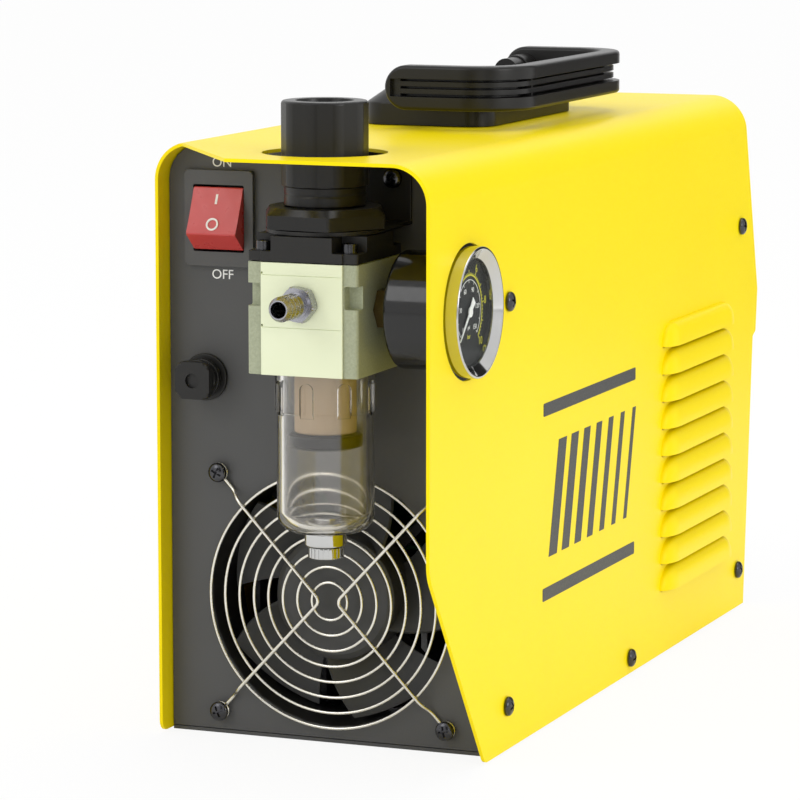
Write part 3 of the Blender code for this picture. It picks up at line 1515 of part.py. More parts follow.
def make_current_knob():
    profile = [(0, dial_knob_height), (dial_knob_radius - 0.0035, dial_knob_height),
               (dial_knob_radius - 0.002, dial_knob_height - 0.001),
               (dial_knob_radius - 0.001, gap + 0.003), (dial_knob_radius, gap + 0.002),
               (dial_knob_radius, gap), (0, gap)]
    knob = turned("current_knob", profile, (0, -dial_knob_drop, 0), "+Z", 24, black_plastic,
                  upper_face)
    mark = box("knob_mark", (-0.0005, 0.002, dial_knob_height - 0.0006),
               (0.0005, dial_knob_radius, dial_knob_height + sheet), parent=upper_face)
    mark.location = (0, -dial_knob_drop, 0)
    cut(knob, mark)
    flutes = []
    for number in range(dial_knob_flutes):
        turn = math.radians(360 * (number + 0.5) / dial_knob_flutes)
        reach = dial_knob_radius + 0.0008
        flute = rod("knob_flute", (reach * math.cos(turn), reach * math.sin(turn) - dial_knob_drop,
                                   gap + 0.003), "+Z", dial_knob_height, 0.0022, 6,
                    parent=upper_face)
        flutes.append(flute)
    cut(knob, merged("knob_flutes", flutes))
    join(knob, rod("knob_spindle", (0, -dial_knob_drop, -fascia_wall - 0.004), "+Z",
                   0.0045 + fascia_wall + gap + 0.001, spindle_radius, 16, parent=upper_face))
    return knob


def make_window():
    window = box("display_window", (-window_width / 2, window_rise - window_height / 2,
                                    -fascia_wall),
                 (window_width / 2, window_rise + window_height / 2, 0.0006), window_tint,
                 upper_face)
    return soften(window, 0.0004, 1)


def make_torch_socket():
    half = torch_plate / 2
    outline = rectangle(-torch_x - half, -socket_drop - half, -torch_x + half,
                        -socket_drop + half, 0.004, 3)
    plate = prism("torch_plate", outline, "Z", gap, gap + torch_plate_thickness, black_plastic,
                  lower_face)
    cut(plate, rod("plate_bore", (-torch_x, -socket_drop, -sheet), "+Z", 0.01,
                   torch_tube_radius + gap, 24, parent=lower_face))
    base = gap + torch_plate_thickness + gap
    socket = hexagon("torch_socket", (-torch_x, -socket_drop, base), "+Z", torch_hex_height,
                     torch_hex, brass, lower_face)
    join(socket,
         rod("torch_tube", (-torch_x, -socket_drop, base + sink), "+Z",
             torch_tube_height - sink, torch_tube_radius, round_sides, parent=lower_face),
         rod("torch_tail", (-torch_x, -socket_drop, -fascia_wall - socket_tail), "+Z",
             socket_tail + fascia_wall + base + sink, torch_tube_radius, round_sides,
             parent=lower_face))
    cut(socket, rod("torch_bore", (-torch_x, -socket_drop, base), "+Z", 0.03, torch_bore,
                    round_sides, parent=lower_face))
    return socket


def make_earth_socket():
    foot = earth_boss_radius - 0.002
    socket = turned("earth_socket", [
        (0, earth_boss_height), (earth_boss_radius - 0.001, earth_boss_height),
        (earth_boss_radius, earth_boss_height - 0.001), (earth_boss_radius, 0.003),
        (earth_flange_radius, 0.0026), (earth_flange_radius, gap), (foot, gap),
        (foot, -fascia_wall - socket_tail), (0, -fascia_wall - socket_tail)],
        (-earth_x, -socket_drop, 0), "+Z", round_sides, black_plastic,
        lower_face)
    slot = box("earth_key", (-earth_x - 0.0012, -socket_drop, -0.004),
               (-earth_x + 0.0012, -socket_drop + earth_bore + 0.0022, 0.03), parent=lower_face)
    cut(socket, rod("earth_bore", (-earth_x, -socket_drop, -0.008), "+Z", 0.04, earth_bore,
                    round_sides, parent=lower_face), slot)
    return socket


def make_control_socket():
    foot = control_radius - 0.0015
    socket = turned("control_socket", [
        (0, control_height), (control_radius, control_height), (control_radius, 0.0025),
        (control_radius + 0.0025, 0.0022), (control_radius + 0.0025, gap), (foot, gap),
        (foot, -fascia_wall - socket_tail), (0, -fascia_wall - socket_tail)],
        (0, control_rise, 0), "+Z", round_sides, chrome_plate, lower_face)
    cut(socket, rod("control_bore", (0, control_rise, -0.004), "+Z", 0.03, control_bore,
                    round_sides, parent=lower_face))
    return socket


# ------------------------------------------------------------------------------ works inside

sink_start = fan_back + fan_to_sink
sink_end = sink_start + sink_length
sink_foot = sheet + gap
sink_top = sink_foot + sink_height
board_bottom = sink_top + standoff
board_start = sink_start - 0.004


def make_heat_sink():
    half = sink_width / 2
    block = box("heat_sink", (-half, sink_start, sink_foot), (half, sink_end, sink_top),
                bare_aluminium)
    pitch = (sink_width - fin_thickness) / (fin_count - 1)
    slots = []
    for number in range(fin_count - 1):
        low = -half + number * pitch + fin_thickness
        slots.append(box("fin_slot", (low, sink_start - sheet, sink_foot - sheet),
                         (low + pitch - fin_thickness, sink_end + sheet, sink_top - sink_base)))
    cut(block, merged("fin_slots", slots))
    posts = []
    for x in (-half + 0.006, half - 0.006):
        for y in (sink_start + 0.008, sink_end - 0.008):
            posts.append(rod("standoff", (x, y, sink_top - sink), "+Z", standoff + sink - gap,
                             0.003, 12))
    join(block, merged("standoffs", posts))
    return block


def make_power_board():
    half = board_width / 2
    board = box("power_board", (-half, board_start, board_bottom),
                (half, board_start + board_length, board_bottom + board_thickness), board_green)
    for number in range(capacitor_count):
        y = board_start + 0.028 + number * (2 * capacitor_radius + 0.006)
        join(board, rod("capacitor", (-0.020, y, board_bottom + board_thickness - sheet / 2),
                        "+Z", capacitor_height, capacitor_radius, 16))
    join(board, box("rectifier", (0.014, board_start + 0.02, board_bottom + board_thickness / 2),
                    (0.042, board_start + 0.05, board_bottom + 0.024)),
         box("relay", (0.014, board_start + 0.07, board_bottom + board_thickness / 2),
             (0.040, board_start + 0.10, board_bottom + 0.018)))
    return board


def make_transformer():
    start = sink_end + transformer_gap
    half = transformer_width / 2
    core = box("transformer", (-half, start, sink_foot), (half, start + transformer_length,
                                                          sink_foot + transformer_height), ferrite)
    middle = start + transformer_length / 2
    cut(core,
        box("core_side", (-half + core_bar, start - sheet, sink_foot + core_bar),
            (half - core_bar, start + 0.010, sink_foot + transformer_height - core_bar)),
        box("core_other_side", (-half + core_bar, start + transformer_length - 0.010,
                                sink_foot + core_bar),
            (half - core_bar, start + transformer_length + sheet,
             sink_foot + transformer_height - core_bar)))
    join(core, rod("winding", (0, middle, sink_foot + core_bar - sink), "+Z",
                   transformer_height - 2 * core_bar + 2 * sink, half - core_bar - 0.002, 20))
    return core


def make_valve():
    """Solenoid valve on the tray: a block with ports and a coil on top."""
    x = 0.030
    start = front - fascia_inset - fascia_depth - 0.012 - valve_length
    block = box("solenoid_valve", (x - valve_width / 2, start, sink_foot),
                (x + valve_width / 2, start + valve_length, sink_foot + valve_height), brass)
    join(block, rod("valve_coil", (x, start + valve_length * 0.7, sink_foot + valve_height - sink),
                    "+Z", coil_height, coil_radius, 16),
         rod("valve_inlet", (x, start + 0.0062, sink_foot + valve_height - sink), "+Z",
             0.010, 0.0026, 12))
    return block, (x, start + 0.0062, sink_foot + valve_height + 0.0095)


def spline_points(knots, per_span):
    """Smooth route through the knots."""
    points = []
    count = len(knots)
    for index in range(count - 1):
        before = Vector(knots[max(index - 1, 0)])
        first = Vector(knots[index])
        second = Vector(knots[index + 1])
        after = Vector(knots[min(index + 2, count - 1)])
        for step in range(per_span):
            t = step / per_span
            points.append(0.5 * ((2 * first) + (second - before) * t
                                 + (2 * before - 5 * first + 4 * second - after) * t * t
                                 + (3 * first - before - 3 * second + after) * t ** 3))
    points.append(Vector(knots[-1]))
    return points


def make_hose(valve_port):
    x, y, z = valve_port
    begin = panel_inner + outlet_length + 3 * gap
    knots = [
        (unit_x, begin, port_height),
        (unit_x, begin + 0.020, port_height),
        (unit_x + 0.012, begin + 0.070, port_height - 0.006),
        (unit_x + 0.024, begin + 0.130, port_height - 0.008),
        (x, y - 0.034, port_height - 0.020),
        (x, y - 0.006, port_height - 0.050),
        (x, y, z + 0.030),
        (x, y, z + 0.014),
        (x, y, z + 3 * gap),
    ]
    return wire("air_hose", spline_points(knots, 2), hose_radius, hose_rubber)


def make_control_board():
    half = control_board_width / 2
    back = -fascia_wall - 0.0095
    board = box("control_board", (-half, -control_board_height / 2, back),
                (half, control_board_height / 2, back + board_thickness), board_green,
                upper_face)
    join(board,
         box("display_digits", (-window_width / 2 + 0.002, window_rise - window_height / 2 + 0.002,
                                back + board_thickness / 2),
             (window_width / 2 - 0.002, window_rise + window_height / 2 - 0.002,
              -fascia_wall - gap), parent=upper_face))
    posts = []
    for u in (-1, 1):
        for v in (-1, 1):
            posts.append(rod("board_post", (u * (half - 0.005), v * (control_board_height / 2
                                                                    - 0.005),
                                            back + board_thickness / 2), "+Z",
                             -fascia_wall - gap - back - board_thickness / 2, 0.0026, 10,
                             parent=upper_face))
    for post in posts:
        join(board, post)
    cut(board, rod("pot_room", (0, -dial_knob_drop, back - 0.01), "+Z", 0.03,
                   spindle_radius + 2 * gap, 16, parent=upper_face))
    return board


make_cover()
make_tray()
make_rear_panel()
make_front_panel()
make_cover_screws()
make_fan_frame()
make_fan_rotor()
make_fan_guard()
make_fan_screws()
make_regulator_body()
make_bonnet()
make_bracket()
make_bracket_screws()
make_ring_nut()
make_knob()
make_adjust_screw()
make_bowl()
make_filter_cup()
make_baffle()
make_drain()
make_drain_cock()
make_hose_barb()
make_outlet()
make_gauge()
make_switch()
make_rocker()
make_gland()
make_handle_base()
make_bail()
make_current_knob()
make_window()
make_torch_socket()
make_earth_socket()
make_control_socket()
make_heat_sink()
make_power_board()
make_transformer()
valve, hose_end = make_valve()
make_hose(hose_end)
make_control_board()
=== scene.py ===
import math
import bmesh
import bpy
from mathutils import Matrix, Vector


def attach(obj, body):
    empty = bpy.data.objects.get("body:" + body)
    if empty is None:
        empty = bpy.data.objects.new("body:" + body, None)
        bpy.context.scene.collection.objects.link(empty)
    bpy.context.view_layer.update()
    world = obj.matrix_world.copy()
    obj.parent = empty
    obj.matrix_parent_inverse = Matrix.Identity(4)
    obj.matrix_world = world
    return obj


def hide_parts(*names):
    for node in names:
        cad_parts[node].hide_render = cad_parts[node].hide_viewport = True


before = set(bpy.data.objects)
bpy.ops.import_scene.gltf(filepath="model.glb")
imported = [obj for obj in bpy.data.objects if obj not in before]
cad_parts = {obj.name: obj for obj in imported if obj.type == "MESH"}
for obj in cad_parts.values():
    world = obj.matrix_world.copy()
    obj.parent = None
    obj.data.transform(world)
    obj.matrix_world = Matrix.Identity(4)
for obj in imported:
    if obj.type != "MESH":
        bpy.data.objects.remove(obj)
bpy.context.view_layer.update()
print("frame loaded:", len(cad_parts), "nodes")

# small tools: colours, nodes, shapes


def srgb(text):  # "#rrggbb" to linear
    parts = [int(text[i:i + 2], 16) / 255 for i in (1, 3, 5)]
    return tuple(p / 12.92 if p <= 0.04045 else ((p + 0.055) / 1.055) ** 2.4 for p in parts) + (1.0,)


def addNode(tree, kind, inputs=None, **settings):
    node = tree.nodes.new(kind)
    for name, value in settings.items():
        setattr(node, name, value)
    for key, value in (inputs or {}).items():
        if isinstance(value, bpy.types.NodeSocket):
            tree.links.new(value, node.inputs[key])
        else:
            node.inputs[key].default_value = value
    return node


def newLook(name, colour, roughness, metallic=0.0, **more):
    look = bpy.data.materials.new(name)
    look.use_nodes = True
    shader = look.node_tree.nodes["Principled BSDF"]
    shader.inputs["Base Color"].default_value = srgb(colour)
    shader.inputs["Roughness"].default_value = roughness
    shader.inputs["Metallic"].default_value = metallic
    for key, value in more.items():
        shader.inputs[key.replace("_", " ")].default_value = value
    look.diffuse_color = srgb(colour)
    return look, look.node_tree, shader


def grained(tree, shader, size, height, tone, rough, blotch, stretch):  # size of one grain, its depth
    where = addNode(tree, "ShaderNodeTexCoord").outputs["Object"]
    if stretch != (1, 1, 1):
        where = addNode(tree, "ShaderNodeMapping", {"Vector": where, "Scale": stretch}).outputs[0]
    grain = addNode(tree, "ShaderNodeTexNoise", {"Vector": where, "Scale": 1 / size,
                                                 "Detail": 2.0})
    relief = addNode(tree, "ShaderNodeBump", {"Height": grain.outputs["Fac"], "Distance": height,
                                              "Strength": 1.0})
    tree.links.new(relief.outputs[0], shader.inputs["Normal"])
    if tone:  # soft blotches between two tones
        wide = addNode(tree, "ShaderNodeTexNoise", {"Vector": where, "Scale": 1 / blotch,
                                                    "Detail": 3.0})
        mix = addNode(tree, "ShaderNodeMix", {"Factor": wide.outputs["Fac"]}, data_type="RGBA")
        ends = [s for s in mix.inputs if s.type == "RGBA"]
        ends[0].default_value, ends[1].default_value = srgb(tone[0]), srgb(tone[1])
        tree.links.new([s for s in mix.outputs if s.type == "RGBA"][0],
                       shader.inputs["Base Color"])
    spread = addNode(tree, "ShaderNodeMapRange", {"Value": grain.outputs["Fac"],
                                                  "From Min": 0.3, "From Max": 0.7,
                                                  "To Min": rough[0], "To Max": rough[1]})
    tree.links.new(spread.outputs[0], shader.inputs["Roughness"])


def finish(name, colour, roughness, size, height, tone, rough, blotch=0.03, metallic=0.0,
           stretch=(1, 1, 1), **more):
    look, tree, shader = newLook(name, colour, roughness, metallic, **more)
    grained(tree, shader, size, height, tone, rough, blotch, stretch)
    return look


alongX = Matrix(((0, 0, 1, 0), (1, 0, 0, 0), (0, 1, 0, 0), (0, 0, 0, 1)))   # outline of (y, z)
alongY = Matrix(((1, 0, 0, 0), (0, 0, 1, 0), (0, 1, 0, 0), (0, 0, 0, 1)))   # outline of (x, z)
alongZ = Matrix.Identity(4)                                                # outline of (x, y)


def pointing(at, axis):  # +Z of a shape goes along axis
    turn = Vector(axis).normalized().to_track_quat("Z", "Y").to_matrix().to_4x4()
    return Matrix.Translation(at) @ turn


def added(name, data):
    thing = bpy.data.objects.new(name, data)
    bpy.context.scene.collection.objects.link(thing)
    return thing


def removed(things):
    for thing in things:
        bpy.data.objects.remove(thing, do_unlink=True)


def fromShape(name, shape):
    bmesh.ops.recalc_face_normals(shape, faces=shape.faces)
    mesh = bpy.data.meshes.new(name)
    shape.to_mesh(mesh)
    shape.free()
    return added(name, mesh)


def settle(thing):  # modifiers become plain mesh
    bpy.context.view_layer.update()
    seen = thing.evaluated_get(bpy.context.evaluated_depsgraph_get())
    mesh = bpy.data.meshes.new_from_object(seen)
    thing.modifiers.clear()
    thing.data = mesh
    return thing


def arc(u, v, radius, start, end, steps):
    return [(u + radius * math.cos(math.radians(start + (end - start) * i / steps)),
             v + radius * math.sin(math.radians(start + (end - start) * i / steps)))
            for i in range(steps + 1)]


def roundOff(points, radius=0.0, steps=4, closed=True):  # a point's third value is its own radius
    line = []
    for i, point in enumerate(points):
        here = Vector(point[:2])
        size = point[2] if len(point) > 2 else radius
        if size <= 0 or (not closed and i in (0, len(points) - 1)):
            line.append(tuple(here))
            continue
        back = Vector(points[i - 1][:2]) - here
        ahead = Vector(points[(i + 1) % len(points)][:2]) - here
        half = back.angle(ahead) / 2
        if half > 1.53:
            line.append(tuple(here))
            continue
        reach = min(size / math.tan(half), back.length * 0.49, ahead.length * 0.49)
        size = reach * math.tan(half)
        centre = here + (back.normalized() + ahead.normalized()).normalized() * size / math.sin(half)
        first = here + back.normalized() * reach - centre
        last = here + ahead.normalized() * reach - centre
        begin = math.degrees(math.atan2(first.y, first.x))
        end = math.degrees(math.atan2(last.y, last.x))
        while end - begin > 180:
            end -= 360
        while end - begin < -180:
            end += 360
        line.extend(arc(centre.x, centre.y, size, begin, end, steps))
    return line


def oblong(lowU, lowV, highU, highV, radius, steps=6):
    return roundOff([(lowU, lowV), (highU, lowV), (highU, highV), (lowU, highV)], radius, steps)


def slab(name, outline, place, low, high, edge=0.0, edgeSteps=2):
    shape = bmesh.new()
    ends = [[shape.verts.new((u, v, w)) for u, v in outline] for w in (low, high)]
    count = len(outline)
    caps = [shape.faces.new(ring) for ring in ends]
    for i in range(count):
        j = (i + 1) % count
        shape.faces.new((ends[0][i], ends[0][j], ends[1][j], ends[1][i]))
    if edge:
        rim = [e for cap in caps for e in cap.edges]
        bmesh.ops.bevel(shape, geom=rim, offset=edge, segments=edgeSteps, profile=0.5,
                        affect="EDGES", clamp_overlap=True)
    bmesh.ops.transform(shape, matrix=place, verts=shape.verts)
    return fromShape(name, shape)


def block(name, low, high, edge=0.0):
    shape = bmesh.new()
    bmesh.ops.create_cube(shape, size=1.0)
    low, high = Vector(low), Vector(high)
    bmesh.ops.transform(shape, matrix=Matrix.Translation((low + high) / 2)
                        @ Matrix.Diagonal((*(high - low), 1.0)), verts=shape.verts)
    if edge:
        bmesh.ops.bevel(shape, geom=shape.edges[:], offset=edge, segments=2, profile=0.5,
                        affect="EDGES", clamp_overlap=True)
    return fromShape(name, shape)


def lathe(name, profile, place, steps=64, ring=False, flats=None):  # profile of (radius, height)
    shape = bmesh.new()
    rows = []
    for radius, height in profile:
        if radius < 1e-7:
            rows.append([shape.verts.new((0, 0, height))])
            continue
        row = []
        for i in range(steps):
            angle = math.tau * i / steps
            size = min(radius, flats(angle)) if flats else radius
            row.append(shape.verts.new((size * math.cos(angle), size * math.sin(angle), height)))
        rows.append(row)
    pairs = list(zip(rows, rows[1:])) + ([(rows[-1], rows[0])] if ring else [])
    for near, far in pairs:
        for i in range(steps):
            j = i + 1
            corners = [near[i % len(near)], near[j % len(near)], far[j % len(far)],
                       far[i % len(far)]]
            corners = list(dict.fromkeys(corners))
            if len(corners) > 2:
                shape.faces.new(corners)
    bmesh.ops.transform(shape, matrix=place, verts=shape.verts)
    return fromShape(name, shape)


def rod(name, at, axis, length, radius, steps=48, edge=0.0):
    line = [(0, length), (radius, length, edge), (radius, 0, edge), (0, 0)]
    return lathe(name, roundOff(line, 0, 3, closed=False), pointing(at, axis), steps)


def flatSided(count, width, turn=0.0):  # limit of a bar with flats, width across them
    def limit(angle):
        pitch = math.tau / count
        off = (angle - math.radians(turn) + pitch / 2) % pitch - pitch / 2
        return width / 2 / math.cos(off)
    return limit


def combined(target, operation, tools):
    for tool in tools:
        step = target.modifiers.new("combine", "BOOLEAN")
        step.operation = operation
        step.solver = "EXACT"
        step.object = tool
    settle(target)
    removed(tools)
    return target


def cut(target, *tools):
    return combined(target, "DIFFERENCE", tools)


def join(target, *tools):
    return combined(target, "UNION", tools)


def keep(target, *tools):
    return combined(target, "INTERSECT", tools)


def together(name, things):  # separate shells in one object
    whole = bmesh.new()
    looks = []
    for thing in things:
        for look in thing.data.materials:
            if look not in looks:
                looks.append(look)
        start = len(whole.faces)
        whole.from_mesh(thing.data)
        whole.faces.ensure_lookup_table()
        for face in whole.faces[start:]:
            if thing.data.materials:
                face.material_index = looks.index(thing.data.materials[face.material_index])
    removed(things)
    mesh = bpy.data.meshes.new(name)
    whole.to_mesh(mesh)
    whole.free()
    for look in looks:
        mesh.materials.append(look)
    return added(name, mesh)


def softEdges(thing, width, segments=2, angle=50):
    edge = thing.modifiers.new("softEdges", "BEVEL")
    edge.width = width
    edge.segments = segments
    edge.limit_method = "ANGLE"
    edge.angle_limit = math.radians(angle)
    edge.use_clamp_overlap = True
    return settle(thing)


def fromCurve(name, curve, place, weld):  # curve or text as plain mesh, its seams welded
    drawn = added(name, curve)
    bpy.context.view_layer.update()
    seen = drawn.evaluated_get(bpy.context.evaluated_depsgraph_get())
    mesh = bpy.data.meshes.new_from_object(seen)
    removed([drawn])
    mesh.transform(place)
    shape = bmesh.new()
    shape.from_mesh(mesh)
    bmesh.ops.remove_doubles(shape, verts=shape.verts, dist=weld)
    return fromShape(name, shape)


def wire(name, points, radius, loop=False):
    curve = bpy.data.curves.new(name, "CURVE")
    curve.dimensions = "3D"
    curve.bevel_depth = radius
    curve.bevel_resolution = 2
    curve.use_fill_caps = True
    spline = curve.splines.new("POLY")
    spline.points.add(len(points) - 1)
    for spot, place in zip(spline.points, points):
        spot.co = (*place, 1.0)
    spline.use_cyclic_u = loop
    return fromCurve(name, curve, Matrix.Identity(4), 0.000005)


def rounder(points, radius, steps=5):  # rounds the corners of a line in space
    line = [Vector(points[0])]
    for before, here, after in zip(points, points[1:], points[2:]):
        before, here, after = Vector(before), Vector(here), Vector(after)
        reach = min(radius, (before - here).length * 0.45, (after - here).length * 0.45)
        start = here + (before - here).normalized() * reach
        end = here + (after - here).normalized() * reach
        for i in range(steps + 1):
            t = i / steps
            line.append(start * (1 - t) ** 2 + here * 2 * t * (1 - t) + end * t ** 2)
    line.append(Vector(points[-1]))
    return line


def words(name, text, size, place):  # 0.06 mm thick
    curve = bpy.data.curves.new(name, "FONT")
    curve.body = text
    curve.size = size
    curve.extrude = 0.00003
    curve.align_x = curve.align_y = "CENTER"
    curve.resolution_u = 4
    return fromCurve(name, curve, place, 0.000002)


def geometryTree(name, sockets):
    tree = bpy.data.node_groups.new(name, "GeometryNodeTree")
    for label, kind in sockets:
        tree.interface.new_socket(label, in_out="INPUT", socket_type=kind)
    tree.interface.new_socket("Geometry", in_out="OUTPUT", socket_type="NodeSocketGeometry")
    return tree, tree.nodes.new("NodeGroupInput"), tree.nodes.new("NodeGroupOutput")


def coated(tree, given, result, geometry):  # the last step of each tree
    last = addNode(tree, "GeometryNodeSetMaterial", {"Geometry": geometry,
                                                     "Material": given.outputs["Finish"]})
    tree.links.new(last.outputs[0], result.inputs[0])
    return tree


def grow(name, tree, values):  # a new object made by a geometry tree
    thing = added(name, bpy.data.meshes.new(name))
    step = thing.modifiers.new(tree.name, "NODES")
    step.node_group = tree
    ids = {s.name: s.identifier for s in tree.interface.items_tree if s.in_out == "INPUT"}
    for name, value in values.items():
        step[ids[name]] = value
    return settle(thing)


def piece(name, thing, look, body, nodes=(), angle=35):
    mesh = thing.data
    if look:
        mesh.materials.clear()
        mesh.materials.append(look)
    mesh.shade_smooth()
    mesh.set_sharp_from_angle(angle=math.radians(angle))
    thing.modifiers.new("evenNormals", "WEIGHTED_NORMAL").keep_sharp = True
    settle(thing)
    thing.name = name
    thing.data.name = name
    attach(thing, body)
    if nodes:
        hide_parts(*nodes)
    return thing

# finishes
# polyester powder coat, baked: a fine orange peel about 0.7 mm across, satin gloss
yellowCoat = finish("yellowPowderCoat", "#fbe200", 0.42, 0.0007, 0.000006, ("#f9df00", "#fde502"),
                    (0.33, 0.41), 0.05, Specular_IOR_Level=0.16)
# the same process in dark grey, slightly coarser and flatter
greyCoat = finish("greyPowderCoat", "#4b4b4b", 0.5, 0.0006, 0.00001, ("#484848", "#505050"),
                  (0.44, 0.58), 0.04)
# moulded glass-filled nylon and ABS: spark-eroded tool texture, 0.35 mm grain
blackNylon = finish("blackMouldedNylon", "#1f1e1d", 0.4, 0.00035, 0.000008, ("#1c1b1a", "#232220"),
                    (0.36, 0.5), 0.02, Specular_IOR_Level=0.35)
blackAbs = finish("blackMouldedAbs", "#171615", 0.3, 0.0005, 0.000004, ("#141312", "#1a1918"),
                  (0.28, 0.38), 0.02, Specular_IOR_Level=0.35)
greyAbs = finish("greyMouldedAbs", "#4d4d4c", 0.45, 0.0004, 0.000006, ("#4a4a49", "#515150"),
                 (0.4, 0.52), 0.02)
fanPlastic = finish("fanPbt", "#3d3d3c", 0.4, 0.0005, 0.000006, ("#3a3a39", "#434342"),
                    (0.35, 0.48), 0.02)
# moulded polycarbonate, dyed through: near gloss, shallow sink marks
redPlastic = finish("redPolycarbonate", "#c4403e", 0.3, 0.004, 0.00002, ("#bd3a38", "#ca4644"),
                    (0.26, 0.34), 0.01)
# painted zinc die casting, the milled faces smooth, the side strips left as cast
creamPaint = finish("creamPaintOnCasting", "#e6ecca", 0.38, 0.0011, 0.000008,
                    ("#e3e9c6", "#eaf0d0"), (0.34, 0.44), 0.015)
castStrip = finish("creamPaintOnSandCasting", "#a3a98d", 0.65, 0.00045, 0.00009,
                   ("#8f957c", "#b4b99c"), (0.5, 0.8), 0.0008)
# clear polycarbonate: a dense refracting wall
clearBowl = finish("clearPolycarbonate", "#f8f6f3", 0.03, 0.006, 0.00001, None, (0.06, 0.1),
                   IOR=1.585, Transmission_Weight=1.0)
gaugeGlass = finish("clearGaugeWindow", "#fbfdfb", 0.02, 0.01, 0.000002, None, (0.015, 0.03),
                    IOR=1.04, Transmission_Weight=1.0)
# sintered filter, grains about 0.4 mm
sinteredFilter = finish("sinteredFilter", "#d6bd9a", 0.75, 0.0004, 0.00004, ("#cfb592", "#dcc4a2"),
                        (0.65, 0.85), 0.004)
# bright chrome over nickel on turned brass
chrome = finish("chromePlate", "#c0c0bf", 0.08, 0.002, 0.000002, ("#b9b9b8", "#c8c8c7"),
                (0.06, 0.12), 0.01, metallic=1.0)
dullNickel = finish("dullNickelPlate", "#a4a4aa", 0.26, 0.0009, 0.000004, ("#9a9aa1", "#aeaeb4"),
                    (0.22, 0.32), 0.004, metallic=1.0)
nickelWire = finish("nickelPlatedWire", "#e9e6dc", 0.22, 0.0008, 0.000006, ("#dedbd0", "#f1eee6"),
                    (0.18, 0.3), 0.006, metallic=1.0)
# black zinc on steel: dark smoky mirror
blackZinc = finish("blackZincSteel", "#4c4c4f", 0.2, 0.0006, 0.000006, ("#444447", "#555558"),
                   (0.16, 0.26), 0.003, metallic=1.0)
turnedBrass = finish("turnedBrass", "#d9b263", 0.28, 0.0005, 0.000006, ("#cfa758", "#e2bd70"),
                     (0.22, 0.36), 0.01, metallic=1.0)
# stoved gloss lacquer on pressed steel: a near mirror
blackLacquer = finish("blackStovedLacquer", "#0c0c0c", 0.12, 0.003, 0.000003,
                      ("#0a0a0a", "#0f0f0f"), (0.09, 0.16), 0.01)
# turned brass painted much darker than its own colour: painted shade for the gauge nipple, which sits in
# the dark inside the hood
shadeDarkenedBrass = finish("shadeDarkenedBrass", "#5f5130", 0.4, 0.0006, 0.000006, ("#57492a", "#6b5c38"),
                   (0.34, 0.5), 0.004, metallic=1.0)
# screen printing ink, thin and slightly matt
whiteInk = finish("whiteScreenInk", "#f3f3f0", 0.55, 0.0003, 0.000003, ("#efefec", "#f7f7f4"),
                  (0.5, 0.62), 0.004)
yellowInk = finish("yellowScreenInk", "#d9d22c", 0.5, 0.0003, 0.000003, ("#d1ca26", "#e0d938"),
                   (0.46, 0.58), 0.004)
charcoalInk = finish("charcoalScreenInk", "#3a3b3a", 0.45, 0.0007, 0.000006, ("#363736", "#404140"),
                     (0.4, 0.52), 0.02)
dialPaint = finish("dialPaint", "#1b1c1e", 0.5, 0.0003, 0.000003, ("#18191b", "#1f2022"),
                   (0.45, 0.6), 0.008, Specular_IOR_Level=0.2)
# hidden works, seen only through the slots and the fan
tintedAcrylic = finish("tintedAcrylic", "#3a0f0f", 0.06, 0.01, 0.000003, ("#340c0c", "#411313"),
                       (0.05, 0.09), 0.02, Coat_Weight=0.4)
solderMask = finish("greenSolderMask", "#1d5a36", 0.4, 0.0015, 0.00002, ("#184f2f", "#27683f"),
                    (0.3, 0.5), 0.003)
millAluminium = finish("extrudedAluminium", "#b9babd", 0.42, 0.0004, 0.00001,
                       ("#b0b1b4", "#c3c4c7"), (0.36, 0.5), 0.01, metallic=1.0, stretch=(12, 1, 12))
ferriteTape = finish("ferriteAndTape", "#3a3732", 0.6, 0.0006, 0.00002, ("#34312c", "#45413a"),
                     (0.5, 0.7), 0.008)
polyTube = finish("polyurethaneTube", "#2f5f9c", 0.35, 0.002, 0.000006, ("#2b5993", "#3567a5"),
                  (0.3, 0.42), 0.01)
print("finishes made")

# case
case = {"width": 0.120, "height": 0.2027, "rear": -0.141, "front": 0.141, "sheet": 0.0012,
        "fold": 0.013, "foot": 0.0006, "edge": 0.00028}
hood = {"reach": 0.0626, "knee": 0.072, "foot": 0.0114, "corner": 0.012, "leftReach": 0.0084,
        "leftRound": 0.004, "cutLeft": 0.0095, "cutRight": 0.0499}
nose = {"topSetback": 0.0065, "reach": 0.0144, "height": 0.125, "chinReach": 0.0126,
        "chin": 0.1083, "stepReach": 0.0088, "step": 0.1067, "round": 0.004}
halfWide = case["width"] / 2
innerWide = halfWide - case["sheet"]
rear, front = case["rear"], case["front"]


def nosePoints(top, bottom):  # the end away from the fan, from the roof down
    slope = (nose["reach"] + nose["topSetback"]) / (case["height"] - nose["height"])
    lean = nose["stepReach"] / nose["step"]
    return [(front - nose["topSetback"] + slope * (case["height"] - top), top),
            (front + nose["reach"], nose["height"]), (front + nose["chinReach"], nose["chin"]),
            (front + nose["stepReach"], nose["step"]), (front + lean * bottom, bottom)]


louvres = {"count": 10, "pitch": 0.01017, "length": 0.084, "start": rear + 0.174, "foot": 0.0249,
           "height": 0.0086, "depth": 0.0044, "end": 0.0110, "ring": 7, "across": 9, "root": 0.006,
           "least": 0.06, "lip": 0.0006}


